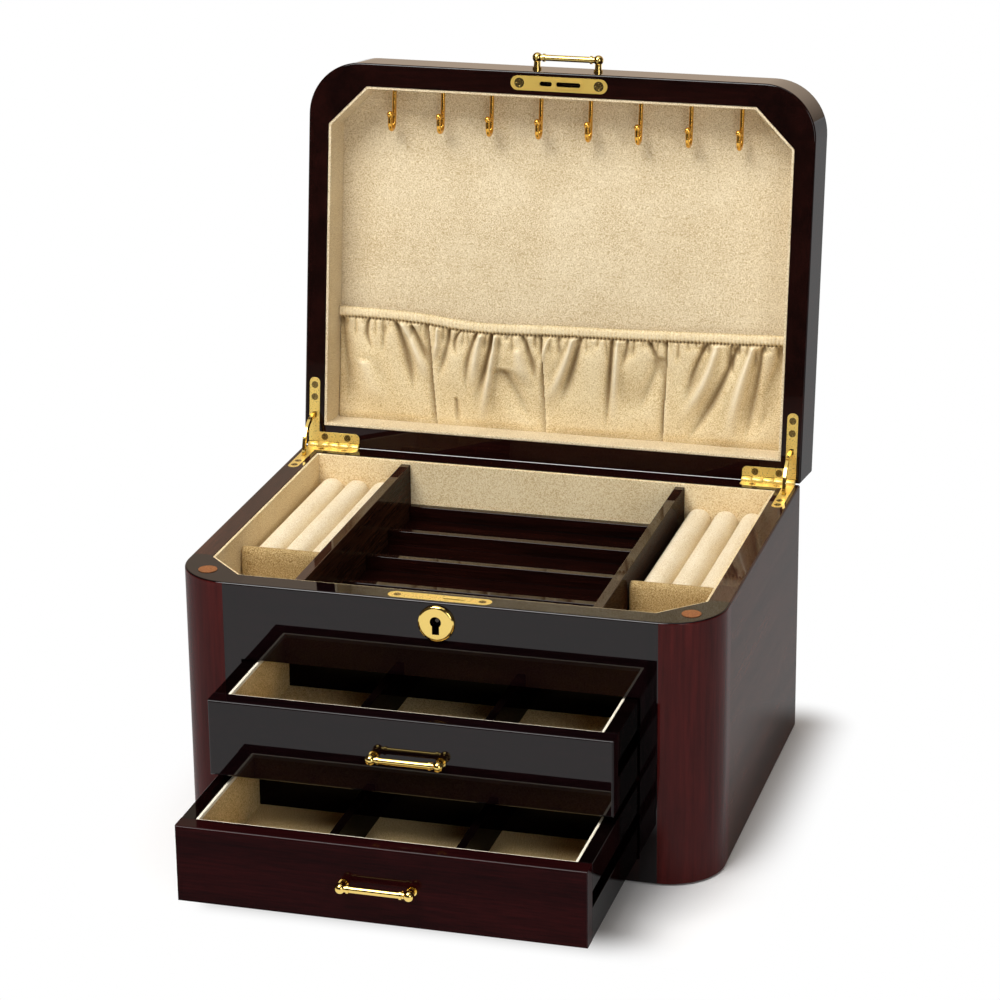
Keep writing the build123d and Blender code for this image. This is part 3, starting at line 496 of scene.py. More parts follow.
@dataclass(frozen=True)
class PaperSweep(Finish):
    """Matt white studio paper.

    The eye sees plain white, also in mirror images, and the box's soft shadow close round it.
    """

    paper: str = "#FAFAFA"
    white: str = "#FFFFFF"
    shadow_middle: tuple[float, float, float] = (0.0, -0.03, 0.0)
    shadow_half: tuple[float, float, float] = (0.16, 0.15, 1.0)
    shadow_reach: float = 0.042
    white_from: tuple[float, float] = (-2.4, -1.4)

    def shade(self, tree: Tree) -> bpy.types.Node:
        """Build lit paper near the box and plain white away from it.

        Args:
            tree: Tree that takes the nodes.

        Returns:
            The shader.
        """
        paper = add_node(tree, "ShaderNodeBsdfDiffuse", {"Color": linear(self.paper)}).outputs[0]
        inputs = {"Color": linear(self.white), "Strength": 1.0}
        white = add_node(tree, "ShaderNodeEmission", inputs).outputs[0]
        path = add_node(tree, "ShaderNodeLightPath").outputs
        seen = path["Is Camera Ray"]
        for kind in ("Is Glossy Ray", "Is Transmission Ray"):
            inputs = {0: seen, 1: path[kind]}
            seen = add_node(tree, "ShaderNodeMath", inputs, operation="MAXIMUM").outputs[0]
        ground = add_node(tree, "ShaderNodeNewGeometry").outputs["Position"]
        for mask in (self.away(tree, ground), self.lit(tree, ground)):
            seen = add_node(tree, "ShaderNodeMath", {0: seen, 1: mask}, operation="MULTIPLY").outputs[0]
        return add_node(tree, "ShaderNodeMixShader", {0: seen, 1: paper, 2: white})

    def away(self, tree: Tree, ground: Socket) -> Socket:
        """Build a mask that grows from 0 round the box's foot to 1 beyond its shadow.

        Args:
            tree: Tree that takes the nodes.
            ground: Socket with the place on the floor.

        Returns:
            Socket with the mask.
        """
        steps = (
            ("SUBTRACT", self.shadow_middle),
            ("ABSOLUTE", None),
            ("SUBTRACT", self.shadow_half),
            ("MAXIMUM", None),
        )
        place = ground
        for step, by in steps:
            inputs = {0: place, 1: by} if by else {0: place}
            place = add_node(tree, "ShaderNodeVectorMath", inputs, operation=step).outputs[0]
        distance = add_node(tree, "ShaderNodeVectorMath", {0: place}, operation="LENGTH").outputs["Value"]
        inputs = {"Value": distance, "From Max": self.shadow_reach}
        return add_node(tree, "ShaderNodeMapRange", inputs, interpolation_type="SMOOTHSTEP").outputs["Result"]

    def lit(self, tree: Tree, ground: Socket) -> Socket:
        """Build a mask that falls to 0 far in front of the box, where the room is dark.

        Args:
            tree: Tree that takes the nodes.
            ground: Socket with the place on the floor.

        Returns:
            Socket with the mask.
        """
        depth = add_node(tree, "ShaderNodeSeparateXYZ", {0: ground}).outputs["Y"]
        low, high = self.white_from
        inputs = {"Value": depth, "From Min": low, "From Max": high}
        return add_node(tree, "ShaderNodeMapRange", inputs).outputs["Result"]


NEAR_BLACK = {"dark": "#070304", "light": "#140709"}
LACQUER_ACROSS = LacqueredMahogany("lacquered_mahogany_across")
LACQUER_LID_SIDE = LacqueredMahogany("lacquered_mahogany_lid_side", Grain.DEEP)
LACQUER_RAIL = LacqueredMahogany("lacquered_mahogany_rail", gloss=1.0, **NEAR_BLACK)
LACQUER_UPPER = LacqueredMahogany("lacquered_mahogany_upper", gloss=0.95, rim_gloss=0.4, **NEAR_BLACK)
LACQUER_LOWER = LacqueredMahogany(
    "lacquered_mahogany_lower", gloss=0.1, rim_gloss=0.4, dark="#130405", light="#2A0A0B"
)
LACQUER_INSIDE = LacqueredMahogany(
    "lacquered_mahogany_inside", gloss=0.2, rim_gloss=0.5, dark="#020101", light="#0B0404"
)
LACQUER_SLAT = LacqueredMahogany(
    "lacquered_mahogany_slat", gloss=0.6, rim_gloss=0.9, dark="#0A0403", light="#240D09"
)
LACQUER_DEEP = LacqueredMahogany(
    "lacquered_mahogany_deep",
    Grain.DEEP,
    gloss=0.5,
    rim_gloss=0.9,
    side_gloss=0.2,
    dark="#1C0E09",
    light="#442A1D",
)
# Side panels: a lighter, warmer base than the rest of the case, partly the wood's colour and partly a painted
# reflection of a warm room.
LACQUER_SIDE_PAINTED_WARMTH = LacqueredMahogany(
    "lacquered_mahogany_side_painted_reflection", Grain.DEEP, rim_gloss=0.7, side_gloss=0.26, dark="#261510", light="#4C2C22"
)
LACQUER_POST = VeneeredPost(
    "lacquered_mahogany_post",
    Grain.UPRIGHT,
    gloss=1.0,
    rim_gloss=0.9,
    fibre_mm=2.2,
    figure_mm=12,
    **NEAR_BLACK,
)
VELVET = VelvetNap("velvet_lining")
ROLL_VELVET = VelvetNap("velvet_on_foam", "#F9EFD6", "#F0E0C0", "#D6C098")
POCKET_VELVET = GatheredVelvet("velvet_gathered", "#F4E3BC", "#E4CFA2", "#BC9F6E")
# Darker copy of the velvet for the cross dividers: painted shade, for the shade their front faces lie in
# behind the front wall.
SHADED_DIVIDER_VELVET = VelvetNap("velvet_darkened_for_shade", "#CAB182", "#B09462", "#7E623A")
LINING_VELVET = VelvetNap("velvet_tray_lining", "#FBEBC8", "#F0DAAC", "#CFB07E")
DRAWER_VELVET = EdgeHighlightVelvet("velvet_in_drawers", "#F2DAA6", "#DEC086", "#AC8A54")
POLISHED_BRASS = PolishedMetal("buffed_brass", "#EFCF78", 0.12)
SATIN_BRASS = PolishedMetal("satin_brass_plate", "#F3D274", 0.3, buff_mm=0.9, dent_mm=0.05, bare=0.5)
STRIKE_BRASS = PolishedMetal("dull_strike_brass", "#E0BE60", 0.35, buff_mm=2.0, dent_mm=0.05, bare=0.55)
SCREW_BRASS = PolishedMetal("screw_brass", "#A48E58", 0.25)
GILT = PolishedMetal("gilded_hook_wire", "#E9B450", 0.14)
STEEL = PolishedMetal("lock_steel", "#4E4A45", 0.3)
LEATHER = MattMaterial("orange_leather", "#74401F", "#A66A38", 0.9, 0.7)
FELT = MattMaterial("black_felt", "#141213", "#24201F", 0.9, 0.95)
PLAIN_WOOD = MattMaterial("plain_stained_wood", "#24120B", "#3A2013", 3.0, 0.6)
PAPER = PaperSweep("white_paper_sweep")


def coat(node: str, finish: Finish, edge_mm: float = 0.0) -> None:
    """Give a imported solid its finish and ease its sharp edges.

    Args:
        node: Name of the solid.
        finish: Finish that it gets.
        edge_mm: Width of the eased edge, or 0 to leave the edges as they are.
    """
    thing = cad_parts[node]
    thing.data.materials.clear()
    thing.data.materials.append(finish.make())
    if edge_mm > 0:
        weld = thing.modifiers.new("join", "WELD")
        weld.merge_threshold = JOIN_DISTANCE
        flat = thing.modifiers.new("plain_faces", "DECIMATE")
        flat.decimate_type = "DISSOLVE"
        flat.angle_limit = FLAT_ANGLE
        ease = thing.modifiers.new("eased_edges", "BEVEL")
        ease.width = edge_mm * MM
        ease.segments = EASED_STEPS
        ease.limit_method = "ANGLE"
        ease.angle_limit = SHARP_ANGLE
        ease.harden_normals = True
    LOG.info("dressed %s in %s", node, finish.name)


def add_mesh(name: str, mesh: bpy.types.Mesh, finish: Finish) -> bpy.types.Object:
    """Add a smooth mesh to the scene as a piece.

    Args:
        name: Name of the piece.
        mesh: Its mesh.
        finish: Its finish.

    Returns:
        The new piece.
    """
    piece = bpy.data.objects.new(name, mesh)
    bpy.context.scene.collection.objects.link(piece)
    mesh.materials.clear()
    mesh.materials.append(finish.make())
    mesh.shade_smooth()
    return piece


@dataclass
class CaseShell:
    """The lacquered case: walls, rails, posts and the plain wood inside them."""

    across: tuple[str, ...] = ("rear_panel", "bottom_rail", "drawer_shelf")
    deep: tuple[str, ...] = ("left_side_panel", "right_side_panel")
    posts: tuple[str, ...] = ("left_corner_post", "right_corner_post")
    plain: tuple[str, ...] = ("base_panel", "drawer_cheeks", "drawer_runners")

    def build(self) -> None:
        """Dress the case."""
        for node in self.across:
            coat(node, LACQUER_ACROSS)
        coat("front_rail", LACQUER_RAIL)
        for node in self.deep:
            coat(node, LACQUER_SIDE_PAINTED_WARMTH)
        for node in self.posts:
            coat(node, LACQUER_POST)
        for node in self.plain:
            coat(node, PLAIN_WOOD)
        coat("base_felt", FELT)
        coat("lid_bumpers", LEATHER)


@dataclass
class SoftPad:
    """A velvet-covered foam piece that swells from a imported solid."""

    voxel_mm: float = 2.0
    start_inset_mm: float = 0.5
    even_share: float = 0.5
    even_rounds: int = 4
    pressure: float = 4.0
    cover_mass: float = 0.3
    cover_quality: int = 5
    frames: int = 20
    cap_mm: float = 0.9
    least_move: float = 1e-9

    def shells(self, node: str) -> list[bpy.types.Mesh]:
        """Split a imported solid's mesh into its separate shells.

        Args:
            node: Name of the solid.

        Returns:
            One closed mesh for each shell, from left to right.
        """
        whole = bmesh.new()
        whole.from_mesh(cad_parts[node].data)
        bmesh.ops.remove_doubles(whole, verts=whole.verts, dist=JOIN_DISTANCE)
        left = set(whole.verts)
        groups = []
        while left:
            grown = {left.pop()}
            front = set(grown)
            while front:
                front = {edge.other_vert(v) for v in front for edge in v.link_edges} - grown
                grown |= front
            left -= grown
            groups.append(grown)
        groups.sort(key=lambda group: min(v.co.x for v in group))
        meshes = []
        for group in groups:
            index = {v: i for i, v in enumerate(group)}
            faces = [[index[v] for v in face.verts] for face in whole.faces if face.verts[0] in index]
            mesh = bpy.data.meshes.new(node)
            mesh.from_pydata([v.co.copy() for v in index], [], faces)
            meshes.append(mesh)
        whole.free()
        return meshes

    def swell(self, mesh: bpy.types.Mesh, name: str, finish: Finish) -> bpy.types.Object:
        """Remesh a shell and blow it up gently, so that its cover is taut over the foam.

        Args:
            mesh: The closed shell.
            name: Name of the new piece.
            finish: Finish of its cover.

        Returns:
            The swollen piece.
        """
        piece = add_mesh(name, mesh, finish)
        grid = piece.modifiers.new("even_grid", "REMESH")
        grid.mode = "VOXEL"
        grid.voxel_size = self.voxel_mm * MM
        shrink = piece.modifiers.new("start_smaller", "DISPLACE")
        shrink.strength = -self.start_inset_mm * MM
        shrink.mid_level = 0.0
        even = piece.modifiers.new("even_out", "SMOOTH")
        even.factor = self.even_share
        even.iterations = self.even_rounds
        self.apply(piece)
        start = np.array([v.co for v in piece.data.vertices])
        self.simulate(piece)
        moved = np.array([v.co for v in piece.data.vertices]) - start
        far = np.linalg.norm(moved, axis=1, keepdims=True)
        share = np.minimum(1.0, self.cap_mm * MM / np.maximum(far, self.least_move))
        piece.data.vertices.foreach_set("co", (start + moved * share).ravel())
        finer = piece.modifiers.new("finer", "SUBSURF")
        finer.levels = finer.render_levels = 1
        piece.data.shade_smooth()
        return piece

    def simulate(self, piece: bpy.types.Object) -> None:
        """Run the cloth of a pad under pressure and keep its last shape.

        Args:
            piece: The pad.
        """
        cloth = piece.modifiers.new("cover", "CLOTH")
        cloth.settings.quality = self.cover_quality
        cloth.settings.mass = self.cover_mass
        cloth.settings.use_pressure = True
        cloth.settings.uniform_pressure_force = self.pressure
        cloth.settings.effector_weights.gravity = 0
        cloth.point_cache.frame_start = 1
        cloth.point_cache.frame_end = self.frames
        for step in range(1, self.frames + 1):
            bpy.context.scene.frame_set(step)
        self.apply(piece)
        bpy.context.scene.frame_set(1)

    def apply(self, piece: bpy.types.Object) -> None:
        """Turn what a piece's modifiers make into its own mesh.

        Args:
            piece: The piece.
        """
        graph = bpy.context.evaluated_depsgraph_get()
        made = bpy.data.meshes.new_from_object(piece.evaluated_get(graph))
        piece.modifiers.clear()
        piece.data = made


@dataclass
class TopTray:
    """The lined top tray: partitions, slats, velvet linings, ring rolls and cross dividers."""

    wood_edge_mm: float = 0.4
    velvet_edge_mm: float = 0.6
    rolls: tuple[str, ...] = ("left_ring_rolls", "right_ring_rolls")
    pad: SoftPad = field(default_factory=SoftPad)

    def build(self) -> None:
        """Dress the tray and stuff its soft pieces."""
        coat("tray_partitions", LACQUER_DEEP, self.wood_edge_mm)
        coat("channel_slats", LACQUER_SLAT, self.wood_edge_mm)
        coat("channel_floor", LACQUER_SLAT)
        coat("tray_floor", PLAIN_WOOD)
        coat("tray_wall_lining", LINING_VELVET, self.velvet_edge_mm)
        coat("tray_floor_felts", LINING_VELVET, self.velvet_edge_mm)
        for node in self.rolls:
            self.stuff(node, ROLL_VELVET)
        # The cross dividers get the darker velvet, which is painted shade.
        self.stuff("cross_dividers", SHADED_DIVIDER_VELVET)

    def stuff(self, node: str, cover: VelvetNap) -> None:
        """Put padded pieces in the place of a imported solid's shells.

        Args:
            node: Name of the solid.
            cover: Velvet that covers the foam.
        """
        for number, shell in enumerate(self.pad.shells(node), 1):
            piece = self.pad.swell(shell, f"{node}_{number}", cover)
            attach(piece, "case")
            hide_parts(node)
            LOG.info("stuffed %s", piece.name)


def smooth(value: np.ndarray, low: float, high: float) -> np.ndarray:
    """Ease from 0 at one value to 1 at another."""
    share = np.clip((value - low) / (high - low), 0, 1)
    return share * share * (3 - 2 * share)


@dataclass(frozen=True)
class Fold:
    """A fold of the pocket cloth, in millimetres on the flat back panel.

    Args:
        points: Three points, each across and up from the hinge, that the fold runs through.
        width: Half width where the fold starts.
        rise: How far it stands out; a valley is below 0.
        widening: Shares of the width at the start, and what is added towards the end.
        ridge: Power of the falloff beside a ridge, which is round.
        crease: Power of the falloff beside a valley, which is creased.
        reach: Shares of the length between which its line bends.
        onset: Shares of the length over which it grows.
        fading: Shares of the length over which it fades.
    """

    points: tuple[tuple[float, float], tuple[float, float], tuple[float, float]]
    width: float
    rise: float
    widening: tuple[float, float] = (0.7, 1.2)
    ridge: float = 2
    crease: float = 1.15
    reach: tuple[float, float] = (-0.1, 1.2)
    onset: tuple[float, float] = (-0.1, 0.05)
    fading: tuple[float, float] = (0.5, 1.1)

    def relief(self, across: np.ndarray, up: np.ndarray) -> np.ndarray:
        """Height that the fold adds at points of the cloth.

        Args:
            across: Distances across.
            up: Distances up.

        Returns:
            Heights in millimetres.
        """
        (x0, up0), (x1, up1), (x2, up2) = self.points
        along = (up0 - up) / (up0 - up2)
        bent = (up0 - up1) / (up0 - up2)
        part = np.clip(along, *self.reach)
        line = x0 + (x2 - x0) * part
        line = line + (x1 - x0 - (x2 - x0) * bent) * part * (1 - part) / (bent * (1 - bent))
        slope = (x2 - x0) / (up0 - up2)
        beside = np.abs(across - line) / math.sqrt(1 + slope * slope)
        start, growth = self.widening
        width = self.width * (start + growth * np.clip(along, 0, 1))
        profile = np.exp(-((beside / width) ** (self.ridge if self.rise > 0 else self.crease)))
        return self.rise * profile * smooth(along, *self.onset) * (1 - smooth(along, *self.fading))


@dataclass
class LidPocket:
    """The gathered velvet pocket in the lid, with an elastic hem and three sewn seams.

    Lengths are in millimetres on the lid's back panel: across from the middle, up from the hinge axis,
    and out from the panel. Pairs with a rise or a dip give its size and how far it spreads.
    """

    hinge_y: float = 121.5
    hinge_z: float = 160.25
    open_degrees: float = 97.7
    panel_depth: float = 27.25
    half_width: float = 145.2
    foot: float = 14.7
    foot_tuck: tuple[float, float] = (0.35, 4.0)
    foot_out: float = 4.4
    mouth_out: float = 8.2
    edge_share: float = 0.45
    arch_power: float = 0.6
    cloth: float = 0.8
    clearance: float = 0.4
    softness: float = 0.7
    columns: int = 600
    rows: int = 140
    seed: int = 7
    hem_tops: tuple[tuple[float, float], ...] = (
        (-146, 86.8),
        (-119, 87.2),
        (-89, 85.9),
        (-59, 82.2),
        (-29, 82.7),
        (8, 84.1),
        (63, 85.0),
        (99, 86.4),
        (146, 87.5),
    )
    hem_samples: int = 200
    hem_window: int = 25
    hem_height: float = 6.8
    hem_onset: tuple[float, float] = (1.6, -0.6)
    hem_stand: tuple[float, float] = (0.55, 0.25)
    hem_bulge: float = 1.5
    hem_roundness: int = 3
    hem_pitch: float = 2.3
    hem_ruche: tuple[float, float] = (0.42, 0.25)
    hem_wobbles: tuple[tuple[float, float, float], ...] = ((0.8, 9.0, 0.0), (0.5, 4.1, 1.3))
    stitch_dip: tuple[float, float] = (1.6, 0.9)
    stitch_pucker: tuple[float, float] = (0.6, 0.4)
    seams: tuple[tuple[float, float], ...] = ((-86, -79.5), (-12, -8), (69, 67.5))
    seam_dip: tuple[float, float] = (2.4, 3.2)
    seam_lip: tuple[float, float] = (1.0, 2.4)
    swells: int = 10
    swell_rise: float = 0.14
    swell_lengths: tuple[float, float] = (26, 56)
    # Blur scales and depths for the painted shade in hollows, its strongest share, and the share of it turned
    # into painted highlight on crests.
    hollow_scales: tuple[tuple[int, float], ...] = ((4, 1.6), (14, 3.6))
    hollow_most: float = 0.85
    crest_highlight_share: float = 0.6
    pleats: int = 62
    pleat_stray: float = 0.3
    pleat_lean: float = 2.0
    pleat_bend: float = 0.4
    pleat_over: float = 1.0
    pleat_lengths: tuple[float, float] = (5, 17)
    pleat_rises: tuple[float, float] = (0.9, 2.0)
    pleat_widths: tuple[float, float] = (0.9, 1.5)
    fold_gain: float = 1.5
    folds: tuple[Fold, ...] = (
        Fold(((-107.5, 78.5), (-100, 57), (-95, 33.3)), 2.6, -3.4),
        Fold(((-103, 79), (-92, 58.6), (-86.5, 42.8)), 2.4, 2.6),
        Fold(((-96.5, 76), (-90, 61.8), (-85.5, 52)), 1.8, -2.6),
        Fold(((-80, 77), (-80.5, 64.4), (-83, 55)), 1.2, 2.0),
        Fold(((-72, 77), (-74, 65), (-80, 44)), 1.8, -2.2),
        Fold(((-64, 76.5), (-69, 67.3), (-66, 59)), 1.3, -1.8),
        Fold(((-53.5, 76), (-60, 56.4), (-60, 36)), 2.0, -2.0),
        Fold(((-50, 77), (-54.5, 58), (-55, 38)), 2.4, 2.2),
        Fold(((-44, 76), (-48, 53.6), (-54, 34)), 1.9, -2.6),
        Fold(((-40.5, 77), (-44.5, 50), (-50, 18)), 2.0, 3.2),
        Fold(((-25, 76.5), (-19.5, 63.6), (-15.5, 46)), 1.7, -2.4),
        Fold(((-27, 66), (-25, 55), (-23, 44)), 3.6, 1.6),
        Fold(((-6, 77), (-11, 64.2), (-13.5, 48)), 1.4, 1.4),
        Fold(((9.5, 78), (2, 54), (-7, 34)), 2.6, 3.0),
        Fold(((14, 77), (8, 56), (2, 34)), 2.6, -2.2),
        Fold(((-67, 32), (-66.5, 23), (-66, 15)), 1.6, -1.2),
        Fold(((-125.2, 80), (-126.5, 72), (-122, 60)), 1.2, -2.0),
        Fold(((-116, 79), (-115.5, 70), (-116, 58)), 1.6, -1.4),
        Fold(((33.5, 78), (32.5, 50.4), (30.5, 18)), 2.0, -3.0),
        Fold(((38, 78), (36.5, 54.5), (33.5, 26)), 2.2, 2.4),
        Fold(((43.5, 78.5), (43, 72), (41, 60)), 1.2, -1.6),
        Fold(((57, 77), (62.5, 66), (67.5, 54)), 1.8, -2.6),
        Fold(((94, 79), (88, 65.9), (82, 44)), 1.8, -2.2),
        Fold(((101, 80), (95, 58.7), (80, 30)), 2.6, 3.0),
        Fold(((113, 78), (99, 44), (82, 15)), 2.4, -3.0),
        Fold(((109.5, 79.5), (109, 72), (112, 60)), 1.2, -1.8),
        Fold(((124, 80), (116, 52.5), (109, 18)), 2.6, 3.0),
        Fold(((129, 79), (125, 51), (119, 16)), 2.6, -2.4),
        Fold(((143, 80), (137, 57.8), (127, 22)), 4.6, -3.8),
        Fold(((-144, 80), (-141, 55), (-138, 22)), 4.6, -2.6),
        Fold(((-36, 52), (-27, 38), (-17, 18)), 6.5, -2.2),
        Fold(((64, 66), (58, 50), (50, 30)), 5.5, -2.2),
        Fold(((-128, 52), (-124, 40), (-118, 22)), 6.0, 1.6),
    )

    def build(self) -> None:
        """Make the pocket and set it in the lid in place of the imported one."""
        piece = add_mesh("velvet_lid_pocket", self.cloth_mesh(), POCKET_VELVET)
        body = piece.modifiers.new("cloth_thickness", "SOLIDIFY")
        body.thickness = self.cloth * MM
        body.offset = -1
        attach(piece, "lid")
        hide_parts("lid_pocket")

    def hem_top(self, across: np.ndarray) -> np.ndarray:
        """Height of the hem's top edge, which dips and rises with the elastic.

        Args:
            across: Distances across.

        Returns:
            Heights in millimetres.
        """
        places, heights = zip(*self.hem_tops)
        fine = np.linspace(-self.half_width, self.half_width, self.hem_samples)
        wide = np.pad(np.interp(fine, places, heights), self.hem_window // 2, mode="edge")
        bent = np.convolve(wide, np.ones(self.hem_window) / self.hem_window, mode="valid")
        return np.interp(across, fine, bent)

    def cloth_mesh(self) -> bpy.types.Mesh:
        """Make the folded cloth as one grid of points, with marks for painted highlight on its crests and
        painted shade in its hollows.

        Returns:
            The mesh, at rest in the open lid.
        """
        line = np.linspace(-self.half_width, self.half_width, self.columns)
        across, share = np.meshgrid(line, np.linspace(0, 1, self.rows))
        top = self.hem_top(across)
        up = self.foot + share * (top - self.foot)
        out = self.relief(across, up, top)
        turn = math.radians(self.open_degrees - 90)
        deep = self.panel_depth - out
        rearward = self.hinge_y + math.sin(turn) * up + math.cos(turn) * deep
        upward = self.hinge_z + math.cos(turn) * up - math.sin(turn) * deep
        points = np.stack([across, rearward, upward], axis=-1).reshape(-1, 3) * MM
        spot = np.arange(across.size).reshape(across.shape)
        corners = [spot[:-1, :-1], spot[:-1, 1:], spot[1:, 1:], spot[1:, :-1]]
        faces = np.stack(corners, axis=-1).reshape(-1, 4)
        mesh = bpy.data.meshes.new("velvet_lid_pocket")
        mesh.from_pydata(points.tolist(), [], faces.tolist())
        # Cloth lying below its blurred relief is marked for painted shade, and cloth lying above it for a
        # painted highlight.
        dip = sum((self.blurred(out, cells) - out) / depth for cells, depth in self.hollow_scales)
        for name, amount in (("painted_hollow_shade", dip), ("painted_crest_highlight", -self.crest_highlight_share * dip)):
            mark = mesh.attributes.new(name, "FLOAT", "POINT")
            mark.data.foreach_set("value", (self.hollow_most * np.tanh(np.maximum(amount, 0))).ravel())
        return mesh

    def blurred(self, heights: np.ndarray, cells: int) -> np.ndarray:
        """Even out heights over a square of cells, twice over.

        Args:
            heights: The heights.
            cells: How many cells the square reaches each way.

        Returns:
            The evened heights.
        """
        for axis in (0, 1, 0, 1):
            pad = [(cells, cells) if axis == side else (0, 0) for side in (0, 1)]
            wide = np.pad(heights, pad, mode="edge")
            views = np.lib.stride_tricks.sliding_window_view(wide, 2 * cells + 1, axis=axis)
            heights = views.mean(axis=-1)
        return heights

    def relief(self, across: np.ndarray, up: np.ndarray, top: np.ndarray) -> np.ndarray:
        """Height of the cloth over the back panel.

        Args:
            across: Distances across.
            up: Distances up.
            top: Heights of the hem's top edge.

        Returns:
            Heights in millimetres.
        """
        random = np.random.default_rng(self.seed)
        stitch = top - self.hem_height
        share = np.clip((up - self.foot) / (stitch - self.foot), 0, 1)
        lines = [np.full_like(up, -self.half_width)]
        lines += [bottom + (high - bottom) * share for high, bottom in self.seams]
        lines += [np.full_like(up, self.half_width)]
        arch = np.zeros_like(up)
        for left, right in zip(lines[:-1], lines[1:]):
            along = np.clip((across - left) / (right - left), 0, 1)
            bay = (1 - (2 * along - 1) ** 2) ** self.arch_power
            arch = np.where((across >= left) & (across <= right), bay, arch)
        out = self.foot_out + (self.mouth_out - self.foot_out) * share
        cloth = out * (self.edge_share + (1 - self.edge_share) * arch)
        for fold in self.folds:
            cloth = cloth + self.fold_gain * fold.relief(across, up)
        cloth = cloth + self.billows(across, up, random)
        cloth = cloth + self.gathers(across, up, stitch, random)
        dip, dip_width = self.seam_dip
        lip, lip_width = self.seam_lip
        for seam in lines[1:-1]:
            beside = across - seam
            before = -dip * np.exp(beside / dip_width)
            after = lip * np.exp(-beside / lip_width)
            cloth = cloth + np.where(beside < 0, before, after)
        tuck, tuck_height = self.foot_tuck
        cloth = cloth * (1 - tuck * np.exp(-(((up - self.foot) / tuck_height) ** 2)))
        cloth = self.hemmed(cloth, across, stitch - up, arch)
        lowest = self.cloth + self.clearance
        return lowest + np.logaddexp(0, (cloth - lowest) / self.softness) * self.softness

    def billows(self, across: np.ndarray, up: np.ndarray, random: np.random.Generator) -> np.ndarray:
        """Broad, soft swells of the slack cloth.

        Args:
            across: Distances across.
            up: Distances up.
            random: Source of the swells' directions and lengths.

        Returns:
            Heights in millimetres.
        """
        swell = np.zeros_like(up)
        for _ in range(self.swells):
            turn = random.uniform(0, math.pi)
            phase = random.uniform(0, 2 * math.pi)
            length = random.uniform(*self.swell_lengths)
            way = across * math.cos(turn) + up * math.sin(turn)
            swell = swell + np.sin(2 * math.pi * way / length + phase)
        return self.swell_rise * swell

    def gathers(
        self, across: np.ndarray, up: np.ndarray, stitch: np.ndarray, random: np.random.Generator
    ) -> np.ndarray:
        """Short creases that the elastic draws up under the hem.

        Args:
            across: Distances across.
            up: Distances up.
            stitch: Heights of the stitched line under the hem.
            random: Source of the creases' places and sizes.

        Returns:
            Heights in millimetres.
        """
        drawn = np.zeros_like(up)
        pitch = 2 * self.half_width / self.pleats
        for number in range(self.pleats):
            stray = random.uniform(-self.pleat_stray, self.pleat_stray)
            start = -self.half_width + (number + 0.5 + stray) * pitch
            length = random.uniform(*self.pleat_lengths)
            lean = random.uniform(-self.pleat_lean, self.pleat_lean)
            high = float(np.interp(start, across[0], stitch[0])) + self.pleat_over
            middle = (start + lean * self.pleat_bend, high - length / 2)
            width = random.uniform(*self.pleat_widths)
            rise = random.uniform(*self.pleat_rises)
            crease = Fold(((start, high), middle, (start + lean, high - length)), width, -rise)
            drawn = drawn + crease.relief(across, up)
        return drawn

    def hemmed(
        self, cloth: np.ndarray, across: np.ndarray, below: np.ndarray, arch: np.ndarray
    ) -> np.ndarray:
        """Turn the top of the cloth over an elastic, which ruches it.

        Args:
            cloth: Heights of the cloth without a hem.
            across: Distances across.
            below: Distances below the stitched line.
            arch: Share by which each bay stands out.

        Returns:
            Heights with the hem.
        """
        wobble = sum(size * np.sin(across / length + phase) for size, length, phase in self.hem_wobbles)
        ruche = np.sin(2 * math.pi * across / self.hem_pitch + wobble)
        in_hem = np.clip(-below / self.hem_height, 0, 1)
        tube = 1 - np.abs(2 * in_hem - 1) ** self.hem_roundness
        edge, more = self.hem_stand
        ruched, less = self.hem_ruche
        band = self.mouth_out * (edge + more * arch) + self.hem_bulge * tube
        band = band + (ruched - less * in_hem) * ruche
        cloth = cloth + (band - cloth) * smooth(below, *self.hem_onset)
        dip, spread = self.stitch_dip
        plain, pucker = self.stitch_pucker
        return cloth - dip * np.exp(-((below / spread) ** 2)) * (plain - pucker * ruche)


@dataclass
class HingedLid:
    """The lid: lacquered frame and top, velvet linings, necklace hooks, pocket and handle."""

    velvet_edge_mm: float = 0.5
    across: tuple[str, ...] = ("lid_front_wall", "lid_rear_wall", "lid_top")
    deep: tuple[str, ...] = ("lid_left_wall", "lid_right_wall")
    linings: tuple[str, ...] = ("lid_back_lining", "lid_wall_lining")
    pocket: LidPocket = field(default_factory=LidPocket)

    def build(self) -> None:
        """Dress the lid and hang its pocket."""
        for node in self.across:
            coat(node, LACQUER_ACROSS)
        for node in self.deep:
            coat(node, LACQUER_LID_SIDE)
        for node in self.linings:
            coat(node, VELVET, self.velvet_edge_mm)
        coat("necklace_hooks", GILT)
        coat("lid_handle", POLISHED_BRASS)
        self.pocket.build()


@dataclass
class PullOutDrawer:
    """One drawer: lacquered front, sides, back and dividers, a velvet lining and a bar handle."""

    name: str
    front: LacqueredMahogany
    edge_mm: float = 0.4
    velvet_edge_mm: float = 0.6

    def build(self) -> None:
        """Dress the drawer."""
        coat(f"{self.name}_front", self.front)
        coat(f"{self.name}_sides", LACQUER_INSIDE, self.edge_mm)
        coat(f"{self.name}_back", LACQUER_INSIDE, self.edge_mm)
        coat(f"{self.name}_bottom", PLAIN_WOOD)
        coat(f"{self.name}_lining", DRAWER_VELVET, self.velvet_edge_mm)
        coat(f"{self.name}_dividers", LACQUER_INSIDE, self.edge_mm)
        coat(f"{self.name}_handle", POLISHED_BRASS)


